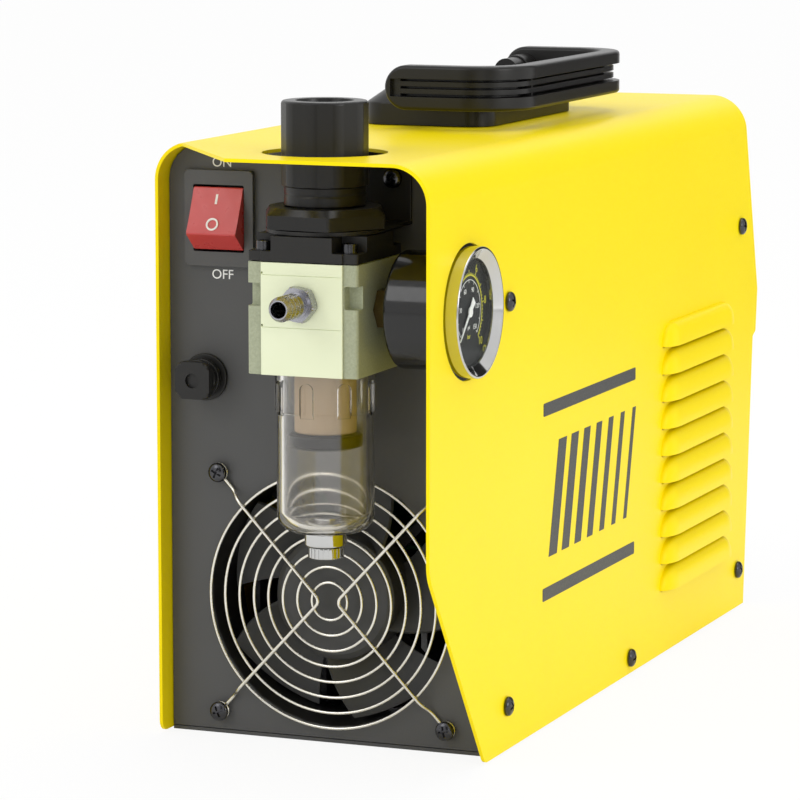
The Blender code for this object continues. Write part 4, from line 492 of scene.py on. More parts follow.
def louvreShape(name, side, shrink, root, strips, ring):  # quarter-round hood with quarter-oval ends
    shape = bmesh.new()
    end = louvres["end"] - shrink
    length = louvres["length"] - 2 * shrink
    height, depth = louvres["height"] - shrink, louvres["depth"] - shrink
    begin = louvres["start"] + shrink
    stations = []
    for i in range(ring + 1):
        t = math.sin(math.pi / 2 * i / ring)
        stations.append((begin + end * (1 - math.cos(math.asin(t))), max(t, louvres["least"])))
    mirrored = [(2 * begin + length - y, swell) for y, swell in reversed(stations)]
    rings = []
    drop = louvres["lip"] if shrink else 0.0  # a hollow opens below
    for y, swell in stations + mirrored:
        line = [(root, louvres["foot"] - drop)]
        if shrink:
            line.append((halfWide + depth * swell, louvres["foot"] - drop))
        for i in range(strips + 1):
            angle = math.pi / 2 * i / strips
            line.append((halfWide + depth * swell * math.cos(angle) ** 0.8,
                         louvres["foot"] + height * swell * math.sin(angle) ** 0.9))
        line.append((root, louvres["foot"] + height * swell))
        rings.append([shape.verts.new((side * x, y, z)) for x, z in line])
    for near, far in zip(rings, rings[1:]):
        for i in range(len(near)):
            j = (i + 1) % len(near)
            shape.faces.new((near[i], near[j], far[j], far[i]))
    shape.faces.new(rings[0])
    shape.faces.new(rings[-1])
    return fromShape(name, shape)


def rowTree():  # copies a solid up the wall at an even pitch
    tree, given, result = geometryTree("louvreRows", [
        ("Hood", "NodeSocketObject"), ("Count", "NodeSocketInt"), ("Pitch", "NodeSocketFloat"),
        ("Finish", "NodeSocketMaterial")])
    hoodInfo = addNode(tree, "GeometryNodeObjectInfo", {"Object": given.outputs["Hood"]})
    step = addNode(tree, "ShaderNodeCombineXYZ", {"Z": given.outputs["Pitch"]})
    line = addNode(tree, "GeometryNodeMeshLine", {"Count": given.outputs["Count"],
                                                  "Offset": step.outputs[0]})
    copies = addNode(tree, "GeometryNodeInstanceOnPoints", {
        "Points": line.outputs[0], "Instance": hoodInfo.outputs["Geometry"]})
    plain = addNode(tree, "GeometryNodeRealizeInstances", {"Geometry": copies.outputs[0]})
    return coated(tree, given, result, plain.outputs[0])


rows = rowTree()


def louvreRow(name, side, shrink, root, strips, ring):
    one = louvreShape(name + "One", side, shrink, root, strips, ring)
    row = grow(name, rows, {"Hood": one, "Count": louvres["count"], "Pitch": louvres["pitch"],
                            "Finish": yellowCoat})
    removed([one])
    return row


unit = {"x": 0.0103, "y": rear - 0.0285, "hole": 0.0205, "gaugeHole": 0.0222, "gaugeZ": 0.1528,
        "portZ": 0.1555}


def makeCover():
    top, sheet, fold = case["height"], case["sheet"], case["fold"]
    section = roundOff([
        (-halfWide, case["foot"]), (-halfWide, top, fold), (halfWide, top, fold),
        (halfWide, case["foot"]), (innerWide, case["foot"]), (innerWide, top - sheet, fold - sheet),
        (-innerWide, top - sheet, fold - sheet), (-innerWide, case["foot"])], 0, 18)
    spare, far = 0.01, 0.12  # cutters reach past the sheet
    cover = slab("cover", section, alongY, rear - hood["reach"], front + nose["reach"] + spare)
    edge = nosePoints(top + spare, case["foot"] - spare)
    slope = (hood["reach"] - hood["foot"]) / hood["knee"]
    sideView = roundOff([
        (rear - hood["reach"], top + spare), edge[0], (*edge[1], nose["round"]),
        (*edge[2], 0.0008), (*edge[3], 0.0008), edge[4], (rear, case["foot"] - spare),
        (rear, case["foot"]), (rear - hood["foot"], case["foot"], hood["corner"] / 3),
        (rear - hood["foot"] - slope * hood["knee"], hood["knee"], hood["corner"])], 0, 10)
    keep(cover, slab("sideView", sideView, alongX, -far, far))
    topView = [(-far, rear - hood["leftReach"]),
               (-halfWide + hood["cutLeft"], rear - hood["leftReach"]),
               (-halfWide + hood["cutRight"], rear - hood["reach"]),
               (-halfWide + hood["cutRight"], rear - far), (-far, rear - far)]
    bend = hood["leftRound"]
    leftFoot = rear - hood["leftReach"] + bend
    footRound = arc(leftFoot, case["foot"] + bend, bend, 270, 180, 8)
    footRound += [(leftFoot - 3.5 * bend, case["foot"] + bend), (leftFoot - 3.5 * bend, -spare),
                  (leftFoot, -spare)]
    cut(cover, slab("topCut", topView, alongZ, -2 * spare, top + 5 * spare),
        slab("footCut", footRound, alongX, -far, -halfWide + 2 * spare),
        rod("knobHole", (unit["x"], unit["y"], top - spare), (0, 0, 1), 2 * spare, unit["hole"], 96),
        rod("gaugeHole", (innerWide - spare, unit["y"], unit["gaugeZ"]), (1, 0, 0), 3 * spare,
            unit["gaugeHole"], 96))
    softEdges(cover, case["edge"], 2, 60)
    for side in (-1, 1):
        root = halfWide - louvres["root"]
        cut(cover, louvreRow("hollows", side, sheet, root, 4, 4))
        hoods = louvreRow("hoods", side, 0.0, halfWide - sheet / 2, louvres["across"],
                          louvres["ring"])
        cut(hoods, louvreRow("hoodHollows", side, sheet, root, 4, 4))
        join(cover, hoods)
    piece("coverShell", cover, yellowCoat, "case", ["cover"], 38)


makeCover()
print("cover made")


def facing(at, right, up):  # flat work laid on a face
    right, up = Vector(right).normalized(), Vector(up).normalized()
    out = right.cross(up)
    return Matrix(((right.x, up.x, out.x, at[0]), (right.y, up.y, out.y, at[1]),
                   (right.z, up.z, out.z, at[2]), (0, 0, 0, 1)))


# screws
screws = {"head": 0.0033, "height": 0.0020, "shank": 0.0019, "cross": 0.0007,
          "crossReach": 0.0019, "crossDepth": 0.0012, "coverLength": 0.0060, "fanLength": 0.014,
          "bracketLength": 0.008, "turns": [0.4, 1.1, 0.2, 0.9, 1.4]}


def makeScrew(name, length):
    head, tall = screws["head"], screws["height"]
    line = [(0, tall)] + [(head * math.sin(a), tall * (0.25 + 0.75 * math.cos(a)))
                          for a in (i * math.pi / 16 for i in range(1, 9))]
    line += [(head, 0.0), (screws["shank"], 0.0), (screws["shank"], -length), (0, -length)]
    screw = lathe(name, line, Matrix.Identity(4), 40)
    reach, half = screws["crossReach"], screws["cross"] / 2
    deep = tall - screws["crossDepth"]
    return cut(screw, block("crossA", (-reach, -half, deep), (reach, half, tall * 2)),
               block("crossB", (-half, -reach, deep), (half, reach, tall * 2)))


def screwTree():  # a screw on each point, turned by the point's own angle
    tree, given, result = geometryTree("screwSet", [
        ("Places", "NodeSocketObject"), ("Screw", "NodeSocketObject"), ("Tilt", "NodeSocketVector"),
        ("Finish", "NodeSocketMaterial")])
    places = addNode(tree, "GeometryNodeObjectInfo", {"Object": given.outputs["Places"]})
    screw = addNode(tree, "GeometryNodeObjectInfo", {"Object": given.outputs["Screw"]})
    angle = addNode(tree, "GeometryNodeInputNamedAttribute", {"Name": "turn"}, data_type="FLOAT")
    spin = addNode(tree, "ShaderNodeCombineXYZ", {"Z": angle.outputs["Attribute"]})
    placed = addNode(tree, "GeometryNodeInstanceOnPoints", {
        "Points": places.outputs["Geometry"], "Instance": screw.outputs["Geometry"],
        "Rotation": given.outputs["Tilt"]})
    turned = addNode(tree, "GeometryNodeRotateInstances", {
        "Instances": placed.outputs[0], "Rotation": spin.outputs[0]})
    plain = addNode(tree, "GeometryNodeRealizeInstances", {"Geometry": turned.outputs[0]})
    return coated(tree, given, result, plain.outputs[0])


screwRows = screwTree()


def screwSet(name, places, axis, length, nodes):
    mesh = bpy.data.meshes.new(name + "Places")
    mesh.from_pydata(places, [], [])
    spin = mesh.attributes.new("turn", "FLOAT", "POINT")
    for i, item in enumerate(spin.data):
        item.value = screws["turns"][i % len(screws["turns"])]
    points = added(name + "Places", mesh)
    one = makeScrew(name + "One", length)
    tilt = Vector(axis).to_track_quat("Z", "Y").to_euler()
    row = grow(name, screwRows, {"Places": points, "Screw": one, "Tilt": tuple(tilt),
                                 "Finish": blackZinc})
    removed([points, one])
    piece(name, row, None, "case", nodes, 30)


coverScrews = [(-.132, .0157), (-.132, .152), (-.0017, .0065), (.1315, .0157), (.1315, .152)]
for side, label in ((-1, "left"), (1, "right")):
    screwSet("coverScrews" + label.title(),
             [(side * (halfWide + 0.0003), y, z) for y, z in coverScrews], (side, 0, 0),
             screws["coverLength"], ["cover_screw_%s_%d" % (label, i) for i in range(1, 6)])
fan = {"x": 0.0009, "centre": 0.0493, "spread": 0.04125, "bore": 0.0438, "hub": 0.0215,
       "front": -0.1395, "back": -0.1145, "rotorFront": -0.138, "rotorBack": -0.1195,
       "size": 0.092, "tip": 0.0428, "blades": 5, "bladeSheet": 0.0011, "strut": 0.0032,
       "mount": 0.0205, "mountDeep": 0.0044}
screwSet("fanScrews", [(fan["x"] + x * fan["spread"], -0.1431, fan["centre"] + z * fan["spread"])
                       for x in (-1, 1) for z in (-1, 1)], (0, -1, 0), screws["fanLength"],
         ["fan_screw_%d" % i for i in range(1, 5)])
screwSet("bracketScrews", [(unit["x"] + x, -0.1429, 0.1924) for x in (-0.013, 0.013)],
         (0, -1, 0), screws["bracketLength"], ["bracket_screw_1", "bracket_screw_2"])
print("screws made")

# fan
guard = {"rings": 8, "first": 0.0064, "pitch": 0.00532, "plane": -0.1441, "wire": 0.00052,
         "leg": 0.00062, "bend": 0.0029, "low": -0.1420, "rise": (0.0355, 0.0325), "cross": 0.0010,
         "eye": 0.0027, "round": 0.0020}


def ringTree():  # even rings swept with a round wire
    tree, given, result = geometryTree("guardRings", [
        ("Count", "NodeSocketInt"), ("First", "NodeSocketFloat"), ("Pitch", "NodeSocketFloat"),
        ("Wire", "NodeSocketFloat"), ("Finish", "NodeSocketMaterial")])
    line = addNode(tree, "GeometryNodeMeshLine", {"Count": given.outputs["Count"]})
    line.inputs["Offset"].default_value = (0, 0, 0)
    number = addNode(tree, "GeometryNodeInputIndex")
    grown = addNode(tree, "ShaderNodeMath", {0: number.outputs[0], 1: given.outputs["Pitch"],
                                             2: given.outputs["First"]}, operation="MULTIPLY_ADD")
    unitRing = addNode(tree, "GeometryNodeCurvePrimitiveCircle", {"Resolution": 96, "Radius": 1.0})
    rings = addNode(tree, "GeometryNodeInstanceOnPoints", {
        "Points": line.outputs[0], "Instance": unitRing.outputs[0], "Scale": grown.outputs[0]})
    plain = addNode(tree, "GeometryNodeRealizeInstances", {"Geometry": rings.outputs[0]})
    thick = addNode(tree, "GeometryNodeCurvePrimitiveCircle", {"Resolution": 10})
    tree.links.new(given.outputs["Wire"], thick.inputs["Radius"])
    swept = addNode(tree, "GeometryNodeCurveToMesh", {"Curve": plain.outputs[0],
                                                      "Profile Curve": thick.outputs[0]})
    return coated(tree, given, result, swept.outputs[0])


def makeGuard():
    rings = grow("rings", ringTree(), {
        "Count": guard["rings"], "First": guard["first"], "Pitch": guard["pitch"],
        "Wire": guard["wire"], "Finish": nickelWire})
    rings.data.transform(pointing((fan["x"], guard["plane"], fan["centre"]), (0, -1, 0)))
    parts = [rings]
    over = guard["plane"] - guard["wire"] - guard["leg"]
    low, reach, bend = guard["low"], fan["spread"], guard["bend"]
    stops = [(reach - 0.0022, low), (guard["rise"][0], low), (guard["rise"][1], over),
             (guard["cross"], over)]
    stops += [(-along, y) for along, y in reversed(stops)]
    for side in (-1, 1):
        line = [Vector((fan["x"] + side * (bend + abs(along) * (1 - bend / reach)), y,
                        fan["centre"] + along)) for along, y in stops]
        parts.append(wire("leg", rounder(line, guard["round"]), guard["leg"]))
        for sign in (-1, 1):
            eye = Vector((fan["x"] + side * reach, low, fan["centre"] + sign * reach))
            hook = [eye + Vector((math.cos(a), 0, math.sin(a))) * guard["eye"]
                    for a in (math.tau * i / 24 for i in range(24))]
            parts.append(wire("eye", hook, guard["leg"], True))
    piece("fanGuardWires", together("fanGuardWires", parts), nickelWire, "case", ["fan_guard"],
          60)


makeGuard()


def makeFan():
    middle = fan["centre"]
    half = fan["size"] / 2
    frameOutline = oblong(-half, middle - half, half, middle + half, 0.004)
    body = slab("fanFrame", frameOutline, alongY, fan["front"], fan["back"], 0.0006)
    cut(body, rod("bore", (0, fan["front"] - 0.001, middle), (0, 1, 0), 0.03, fan["bore"], 96))
    struts = []
    for k in range(4):
        strut = block("strut", (-fan["strut"] / 2, -0.0022, 0.008),
                      (fan["strut"] / 2, 0.0, fan["bore"] + 0.001))
        strut.data.transform(Matrix.Translation((0, fan["back"], middle))
                             @ Matrix.Rotation(math.radians(45 + 90 * k), 4, "Y"))
        struts.append(strut)
    plate = rod("mount", (0, fan["back"] - fan["mountDeep"], middle), (0, 1, 0),
                fan["mountDeep"], fan["mount"], 64, 0.0004)
    whole = together("fanFrameBody", [body, plate] + struts)
    piece("fanFrameBody", whole, blackNylon, "case", ["fan_frame"])
    hub = lathe("hub", roundOff([(0, 0.0185), (0.0195, 0.0185), (fan["hub"], 0.0172),
                                 (fan["hub"], 0.0), (0, 0.0)], 0.0006, 3, closed=False),
                pointing((0, fan["rotorBack"], middle), (0, -1, 0)), 72)
    blades = []
    for k in range(fan["blades"]):
        shape = bmesh.new()
        rows = []
        for i in range(13):
            t = i / 12
            radius = fan["hub"] - 0.0006 + t * (fan["tip"] - fan["hub"])
            sweep = math.radians(k * 360 / fan["blades"] + 14 * t)  # swept forward to the tip
            spread = math.radians(56 - 8 * t)
            row = []
            for j in range(11):
                u = j / 10 - 0.5
                angle = sweep + spread * u
                lift = 0.0150 * u * (1 - 0.25 * t) + 0.0022 * (1 - 4 * u * u)
                row.append(shape.verts.new((radius * math.cos(angle),
                                            (fan["rotorFront"] + fan["rotorBack"]) / 2 + lift,
                                            middle + radius * math.sin(angle))))
            rows.append(row)
        for near, far in zip(rows, rows[1:]):
            for j in range(10):
                shape.faces.new((near[j], near[j + 1], far[j + 1], far[j]))
        blade = fromShape("blade", shape)
        thick = blade.modifiers.new("thick", "SOLIDIFY")
        thick.thickness = fan["bladeSheet"]
        thick.offset = 0
        blades.append(settle(blade))
    piece("fanRotorBlades", together("fanRotorBlades", [hub] + blades), fanPlastic, "rotor",
          ["fan_rotor"])


makeFan()
print("fan made")

# filter regulator
ux, uy = unit["x"], unit["y"]
overUnit = Matrix.Translation((ux, uy, 0))
body = {"half": 0.0193, "depth": 0.020, "face": 0.0143, "rise": 0.0009, "low": 0.1318,
        "high": 0.1684, "notchLow": 0.154, "notchHigh": 0.1615, "notch": 0.0052,
        "port": 0.0046, "socket": 0.0148, "seams": (0.1644, 0.1474), "seamWide": 0.00024}


def plusOutline(radius):  # a square with a raised middle on its near and far faces
    half, deep, face = body["half"], body["depth"], body["face"]
    back = deep - body["rise"]
    points = [(-half, -back, 0.0012), (-face, -back, 0.0002), (-face, -deep, radius),
              (face, -deep, radius), (face, -back, 0.0002), (half, -back, 0.0012)]
    points += [(-x, -y, r) for x, y, r in points]
    return [(ux + x, uy + y) for x, y in roundOff(points, 0, 3)]


def makeBody():
    core = slab("core", plusOutline(0.0005), alongZ, body["low"], body["high"], 0.0004)
    near = uy - body["depth"] - 0.001
    tools = []
    for sx in (-1, 1):
        for sy in (-1, 1):
            xs = sorted((ux + sx * (body["face"] + 0.0003), ux + sx * 0.03))
            ys = sorted((uy + sy * (body["depth"] - body["notch"]), uy + sy * 0.03))
            tools.append(block("notch", (xs[0], ys[0], body["notchLow"]),
                               (xs[1], ys[1], body["notchHigh"]), 0.0006))
    cut(core, *tools, rod("port", (ux, near, unit["portZ"]), (0, 1, 0), 0.009, body["port"], 40),
        rod("bowlSocket", (ux, uy, body["low"] - 0.001), (0, 0, 1), 0.012, body["socket"], 72))
    seams = []
    for z in body["seams"]:
        half = body["seamWide"] / 2
        seams.append(block("seam", (ux - 0.02, near, z - half),
                           (ux + 0.02, uy - body["depth"] + 0.00025, z + half)))
        seams.append(rod("pip", (ux - body["face"] + 0.0005, near, z + 0.0006), (0, 1, 0), 0.0025,
                         0.0004, 16))
    cut(core, *seams)
    core.data.materials.clear()
    core.data.materials.append(creamPaint)
    core.data.materials.append(castStrip)
    for face in core.data.polygons:  # the strips beside the milled faces stay as cast
        if abs(face.center.x - ux) > body["face"] - 0.0001:
            face.material_index = 1
    piece("regulatorCasting", core, None, "case", ["regulator_body"])


makeBody()
bonnet = {"low": 0.1687, "shoulder": 0.1719, "high": 0.1769, "pocket": 0.0087, "neck": 0.0128,
          "neckTop": 0.1851, "spigot": 0.0102, "spigotTop": 0.2067, "bore": 0.0043,
          "boltX": 0.0042, "boltY": 0.0038}


def makeBonnet():
    cap = slab("cap", plusOutline(0.0008), alongZ, bonnet["low"], bonnet["high"], 0.0006)
    tools, bolts = [], []
    for sx in (-1, 1):
        for sy in (-1, 1):
            inX, inY = body["half"] - bonnet["pocket"], body["depth"] - bonnet["pocket"]
            xs = sorted((ux + sx * inX, ux + sx * 0.03))
            ys = sorted((uy + sy * inY, uy + sy * 0.03))
            tools.append(block("pocket", (xs[0], ys[0], bonnet["shoulder"]),
                               (xs[1], ys[1], bonnet["high"] + 0.01), 0.0005))
            at = (ux + sx * (inX + bonnet["boltX"]), uy + sy * (inY + bonnet["boltY"]),
                  bonnet["shoulder"] - 0.0003)
            bolt = lathe("bolt", roundOff([(0, 0.0016), (0.0014, 0.0016), (0.0014, 0.0034),
                                           (0.0027, 0.0034, 0.0003), (0.0027, 0.0)], 0, 3, False),
                         Matrix.Translation(at), 36)
            bolt.data.materials.append(blackZinc)
            bolts.append(bolt)
    line = roundOff([(0, bonnet["spigotTop"]), (bonnet["spigot"], bonnet["spigotTop"], 0.0005),
                     (bonnet["spigot"], bonnet["neckTop"]), (bonnet["neck"], bonnet["neckTop"], .0005),
                     (bonnet["neck"], bonnet["high"] - 0.0002), (0, bonnet["high"] - 0.0002)], 0, 3,
                    False)
    cut(cap, *tools)
    join(cap, lathe("neck", line, overUnit, 72))
    cut(cap, rod("stemBore", (ux, uy, bonnet["shoulder"]), (0, 0, 1), 0.06, bonnet["bore"], 40))
    cap.data.materials.clear()
    cap.data.materials.append(blackNylon)
    piece("regulatorBonnet", together("regulatorBonnet", [cap] + bolts), None, "case",
          ["regulator_bonnet"])


makeBonnet()
nut = {"low": 0.1787, "height": 0.0067, "flats": 0.038, "turn": 24.6, "bore": 0.0131,
       "chamfer": 0.0022}


def makeRingNut():
    tall, bore, corner = nut["height"], nut["bore"], nut["flats"] / math.sqrt(3) + 0.0003
    line = roundOff([(bore, tall, .0003), (nut["flats"] / 2 - 0.0008, tall),
                     (corner, tall - nut["chamfer"]), (corner, 0.0), (bore, 0.0, .0003)], 0, 3)
    ring = lathe("ringNutBody", line, Matrix.Translation((ux, uy, nut["low"])), 180, True,
                 flatSided(6, nut["flats"], nut["turn"]))
    piece("ringNutBody", softEdges(ring, 0.0003, 2, 25), blackAbs, "case", ["ring_nut"],
          20)


makeRingNut()
knob = {"low": 0.1857, "height": 0.0339, "radius": 0.0142, "skirt": 0.0060, "skirtRadius": 0.0133,
        "recess": 0.0092, "recessDepth": 0.0022, "flats": 10, "flatDeep": 0.00024, "turn": 4.8,
        "bore": 0.0108}


def makeKnob():
    top, skirt, wide = knob["height"], knob["skirt"], knob["radius"]
    place = Matrix.Translation((ux, uy, knob["low"]))
    recess, low, bore, foot = knob["recess"], top - knob["recessDepth"], knob["bore"], knob["skirtRadius"]
    line = roundOff([(0, low), (recess, low, .0004), (recess + 0.0003, top, 0.0004),
                     (wide, top, 0.0011), (wide, skirt + 0.0005, 0.0004), (foot, skirt, 0.0002),
                     (foot, skirt * 0.72), (foot - 0.0002, skirt * 0.6), (foot, skirt * 0.48),
                     (foot, 0, 0.0003), (bore, 0), (bore, top * 0.72), (0, top * 0.72)], 0, 4, False)
    flat = flatSided(knob["flats"], 2 * (wide - knob["flatDeep"]), knob["turn"])
    grip = lathe("grip", line, place, 240, False, flat)
    mark = block("mark", (-0.0003, -0.0095, top - 0.0026), (0.0003, -0.0062, top - 0.0018))
    mark.data.transform(place @ Matrix.Rotation(0.6, 4, "Z"))
    piece("knobMark", mark, whiteInk, "pressure_grip")
    piece("regulatorKnobGrip", grip, blackAbs, "pressure_grip", ["regulator_knob"],
          14)


makeKnob()
bowl = {"radius": 0.0160, "collar": 0.0166, "collarLow": 0.1185, "top": 0.1315, "low": 0.0784,
        "wall": 0.0022, "round": 0.0115, "neck": 0.0145, "neckTop": 0.1425, "flutes": 8,
        "fluteWide": 0.0046, "fluteHigh": 0.0105, "fluteDeep": 0.0012, "hole": 0.0043}
cup = {"radius": 0.0102, "low": 0.1113, "top": 0.1425, "wall": 0.0017, "floor": 0.0022,
       "disc": 0.0122, "discTop": 0.1110, "discLow": 0.1070}
drain = {"stem": 0.0040, "seat": 0.0070, "seatTop": 0.0781, "seatLow": 0.0735, "knob": 0.0059,
         "knobLow": 0.0694, "bore": 0.0024, "grips": 24, "groove": 0.0004}


def makeBowl():
    wide, thin, low, step, edge = bowl["radius"], bowl["wall"], bowl["low"], bowl["collarLow"], 0.0004
    line = [(bowl["hole"], low, edge), (wide, low, bowl["round"]), (wide, step, edge),
            (bowl["collar"], step, edge), (bowl["collar"], bowl["top"], edge),
            (bowl["neck"], bowl["top"], edge / 2), (bowl["neck"], bowl["neckTop"], edge),
            (wide - thin, bowl["neckTop"], edge), (wide - thin, low + thin, bowl["round"] - thin),
            (bowl["hole"], low + thin, edge)]
    shell = lathe("shell", roundOff(line, 0, 10), overUnit, 120, True)
    flutes = []
    for k in range(bowl["flutes"]):
        low, high, half = step - 0.001, step + bowl["fluteHigh"], bowl["fluteWide"] / 2
        outline = [(-half, low), (half, low)] + arc(0, high - half, half, 0, 180, 12)
        flute = slab("flute", outline, alongY, -bowl["collar"] - 0.002,
                     -bowl["collar"] + bowl["fluteDeep"])
        flute.data.transform(overUnit @ Matrix.Rotation(math.tau * k / bowl["flutes"], 4, "Z"))
        flutes.append(flute)
    cut(shell, *flutes)
    piece("filterBowlShell", softEdges(shell, 0.00015, 2, 40), clearBowl, "case", ["filter_bowl"],
          30)


def makeFilter():
    wide, low, top = cup["radius"], cup["low"], cup["top"]
    inside, floor = wide - cup["wall"], low + cup["floor"]
    line = [(0, low), (wide, low, .0008), (wide, top, .0006), (inside, top), (inside, floor),
            (0, floor)]
    element = lathe("cup", roundOff(line, 0, 4, False), overUnit, 96)
    piece("filterElement", element, sinteredFilter, "case", ["filter_cup"])
    wide, low, top = cup["disc"], cup["discLow"], cup["discTop"]
    line = [(0, top), (wide, top, .0008), (wide, low, .001), (wide - 0.0022, low - 0.0008, .0004),
            (0, low - 0.001)]
    disc = lathe("disc", roundOff(line, 0, 4, False), overUnit, 96)
    piece("baffleDisc", disc, blackAbs, "case", ["baffle_disc"])


def makeDrain():
    stem, seat, bore = drain["stem"], drain["seat"], drain["bore"]
    top, low = drain["seatTop"], drain["seatLow"]
    line = [(0, 0.0820), (stem, 0.0820, .0003), (stem, top, .0003), (seat, top, .0006),
            (seat, low, .0006), (bore, low), (bore, 0.0800), (0, 0.0800)]
    foot = lathe("drain", roundOff(line, 0, 4, False), overUnit, 96)
    piece("drainBody", foot, chrome, "case", ["drain_body"])
    wide, top, low = drain["knob"], low - 0.0003, drain["knobLow"]
    line = [(0, 0.0790), (0.0022, 0.0790), (0.0022, top, .0002), (wide, top, .0005),
            (wide, low, .0006), (0.0020, low, .0003), (0.0020, low + 0.0009), (0, low + 0.0009)]
    cock = lathe("cock", roundOff(line, 0, 4, False), overUnit, 160)
    grips = []
    for k in range(drain["grips"]):
        half = drain["groove"] / 2
        groove = block("groove", (wide - 0.0002, -half, low - 0.0004), (0.0063, half, top + 0.0004))
        groove.data.transform(overUnit @ Matrix.Rotation(math.tau * k / drain["grips"], 4, "Z"))
        grips.append(groove)
    cut(cock, together("grooves", grips))
    piece("drainCock", cock, chrome, "drain_cock", ["drain_cock"])


makeBowl()
makeFilter()
makeDrain()
barb = {"root": 0.0031, "tip": 0.0041, "pitch": 0.0031, "count": 4, "bore": 0.0027, "start": -0.1809,
        "length": 0.0272, "hexLow": 0.0089, "hexHigh": 0.0131, "flats": 0.0108, "turn": 20}


def makeBarb():
    root, tip, low, high = barb["root"], barb["tip"], barb["hexLow"], barb["hexHigh"]
    line = [(barb["bore"], 0), (barb["bore"], barb["length"])]
    for k in range(barb["count"]):
        top = barb["length"] - k * barb["pitch"]
        line += [(root, top, .0001), (tip, top - 0.0019, .0002), (tip, top - 0.0024, .0002)]
    line += [(root, high - 0.0001), (0.0046, high - 0.0003), (0.0046, low - 0.0001),
             (0.0043, low - 0.0001), (0.0043, 0.0)]
    place = pointing((ux, barb["start"], unit["portZ"]), (0, -1, 0))
    stem = lathe("stem", roundOff(line, 0, 3), place, 72, True)
    corner = barb["flats"] / math.sqrt(3) + 0.0001
    ring = [(0.0042, low), (corner - 0.0007, low), (corner, low + 0.0005), (corner, high - 0.0005),
            (corner - 0.0007, high), (0.0042, high)]
    hexa = lathe("hexa", ring, place, 120, True, flatSided(6, barb["flats"], barb["turn"]))
    piece("hoseBarb", together("hoseBarb", [stem, hexa]), dullNickel, "case", ["hose_barb"],
          24)


makeBarb()
print("regulator made")

# gauge
gauge = {"case": 0.0193, "back": 0.0377, "bezel": 0.0213, "bezelBack": 0.0559, "front": 0.0645,
         "cone": 0.0621, "dial": 0.0174, "dialFront": 0.0601, "yellow": 0.0119, "yellowText": 0.0149,
         "white": 0.0104, "whiteText": 0.0076, "start": 225, "sweep": 270, "ticks": 50,
         "numbers": 5, "window": 0.0171, "windowBack": 0.0612, "windowFront": 0.0618}
gaugeOut = pointing((0, uy, unit["gaugeZ"]), (1, 0, 0))


def dialPlace(radius, clock, lift):  # clock in degrees from the top, upright lettering
    a = math.radians(clock)
    at = (gauge["dialFront"] + lift, uy + radius * math.sin(a), unit["gaugeZ"] + radius * math.cos(a))
    return facing(at, (0, 1, 0), (0, 0, 1))


def dialBand(name, radius, width, begin, end, steps):
    ring = [(math.sin(math.radians(begin + (end - begin) * i / steps)),
             math.cos(math.radians(begin + (end - begin) * i / steps))) for i in range(steps + 1)]
    outer = [((radius + width / 2) * s, (radius + width / 2) * c) for s, c in ring]
    inner = [((radius - width / 2) * s, (radius - width / 2) * c) for s, c in reversed(ring)]
    outline = [(uy + u, unit["gaugeZ"] + v) for u, v in outer + inner]
    return slab(name, outline, alongX, gauge["dialFront"] - 0.00003, gauge["dialFront"] + 0.00005)


def makeGauge():
    cup = [(0, 0.0590), (gauge["dial"] + 0.0004, 0.0590), (gauge["dial"] + 0.0004, 0.0598),
           (gauge["case"], 0.0598), (gauge["case"], gauge["back"], 0.0016), (0, gauge["back"])]
    shell = lathe("gaugeShell", roundOff(cup, 0, 5, False), gaugeOut, 96)
    piece("gaugeShell", shell, blackLacquer, "case", ["gauge_case"])
    rim = [(gauge["bezel"] - 0.0009, gauge["front"], 0.0005), (gauge["bezel"], gauge["front"], 0.0010),
           (gauge["bezel"], gauge["bezelBack"], 0.0004), (gauge["case"] + 0.0003, gauge["bezelBack"]),
           (gauge["case"] + 0.0003, 0.0601), (gauge["dial"], 0.0601), (gauge["dial"], gauge["cone"])]
    bezel = lathe("bezel", roundOff(rim, 0, 5), gaugeOut, 160, True)
    piece("gaugeBezelRing", bezel, chrome, "case", ["gauge_bezel"], 25)
    wide, near, far = gauge["window"], gauge["windowBack"], gauge["windowFront"]
    glass = [(0, far), (wide, far, 0.0002), (wide, near), (0, near)]
    piece("gaugeWindow", lathe("window", roundOff(glass, 0, 3, False), gaugeOut, 96), gaugeGlass,
          "case", ["gauge_lens"])
    dial = rod("dial", (gauge["dialFront"] - 0.0005, uy, unit["gaugeZ"]), (1, 0, 0), 0.0005,
               gauge["dial"], 96)
    piece("gaugeDialPlate", dial, dialPaint, "case", ["gauge_dial"])


def makeDialPrint():
    begin, sweep = gauge["start"], gauge["sweep"]
    yellow = [dialBand("arc", gauge["yellow"], 0.0005, begin, begin + sweep, 90)]
    white = [dialBand("arc", gauge["white"], 0.00022, begin, begin + sweep, 90)]
    for k in range(gauge["ticks"] + 1):
        clock = begin + sweep * k / gauge["ticks"]
        long = 0.0017 if k % 5 == 0 else 0.0008
        yellow.append(dialBand("tick", gauge["yellow"] + long / 2, long, clock - 0.7,
                               clock + 0.7, 1))
        if k % 5 == 0:
            white.append(dialBand("tick", gauge["white"] - 0.0005, 0.0010, clock - 0.6,
                                  clock + 0.6, 1))
    for k in range(gauge["numbers"] + 1):
        clock = begin + sweep * k / gauge["numbers"]
        yellow.append(words("number", str(2 * k), 0.0036, dialPlace(gauge["yellowText"], clock, 0)))
        white.append(words("number", str(30 * k), 0.0023, dialPlace(gauge["whiteText"], clock, 0)))
    white.append(words("label", "psi", 0.0019, dialPlace(0.0050, 180, 0)))
    yellow.append(words("label", "bar", 0.0021, dialPlace(0.0080, 180, 0)))
    piece("dialYellowScale", together("dialYellowScale", yellow), yellowInk, "case")
    piece("dialWhiteScale", together("dialWhiteScale", white), whiteInk, "case")


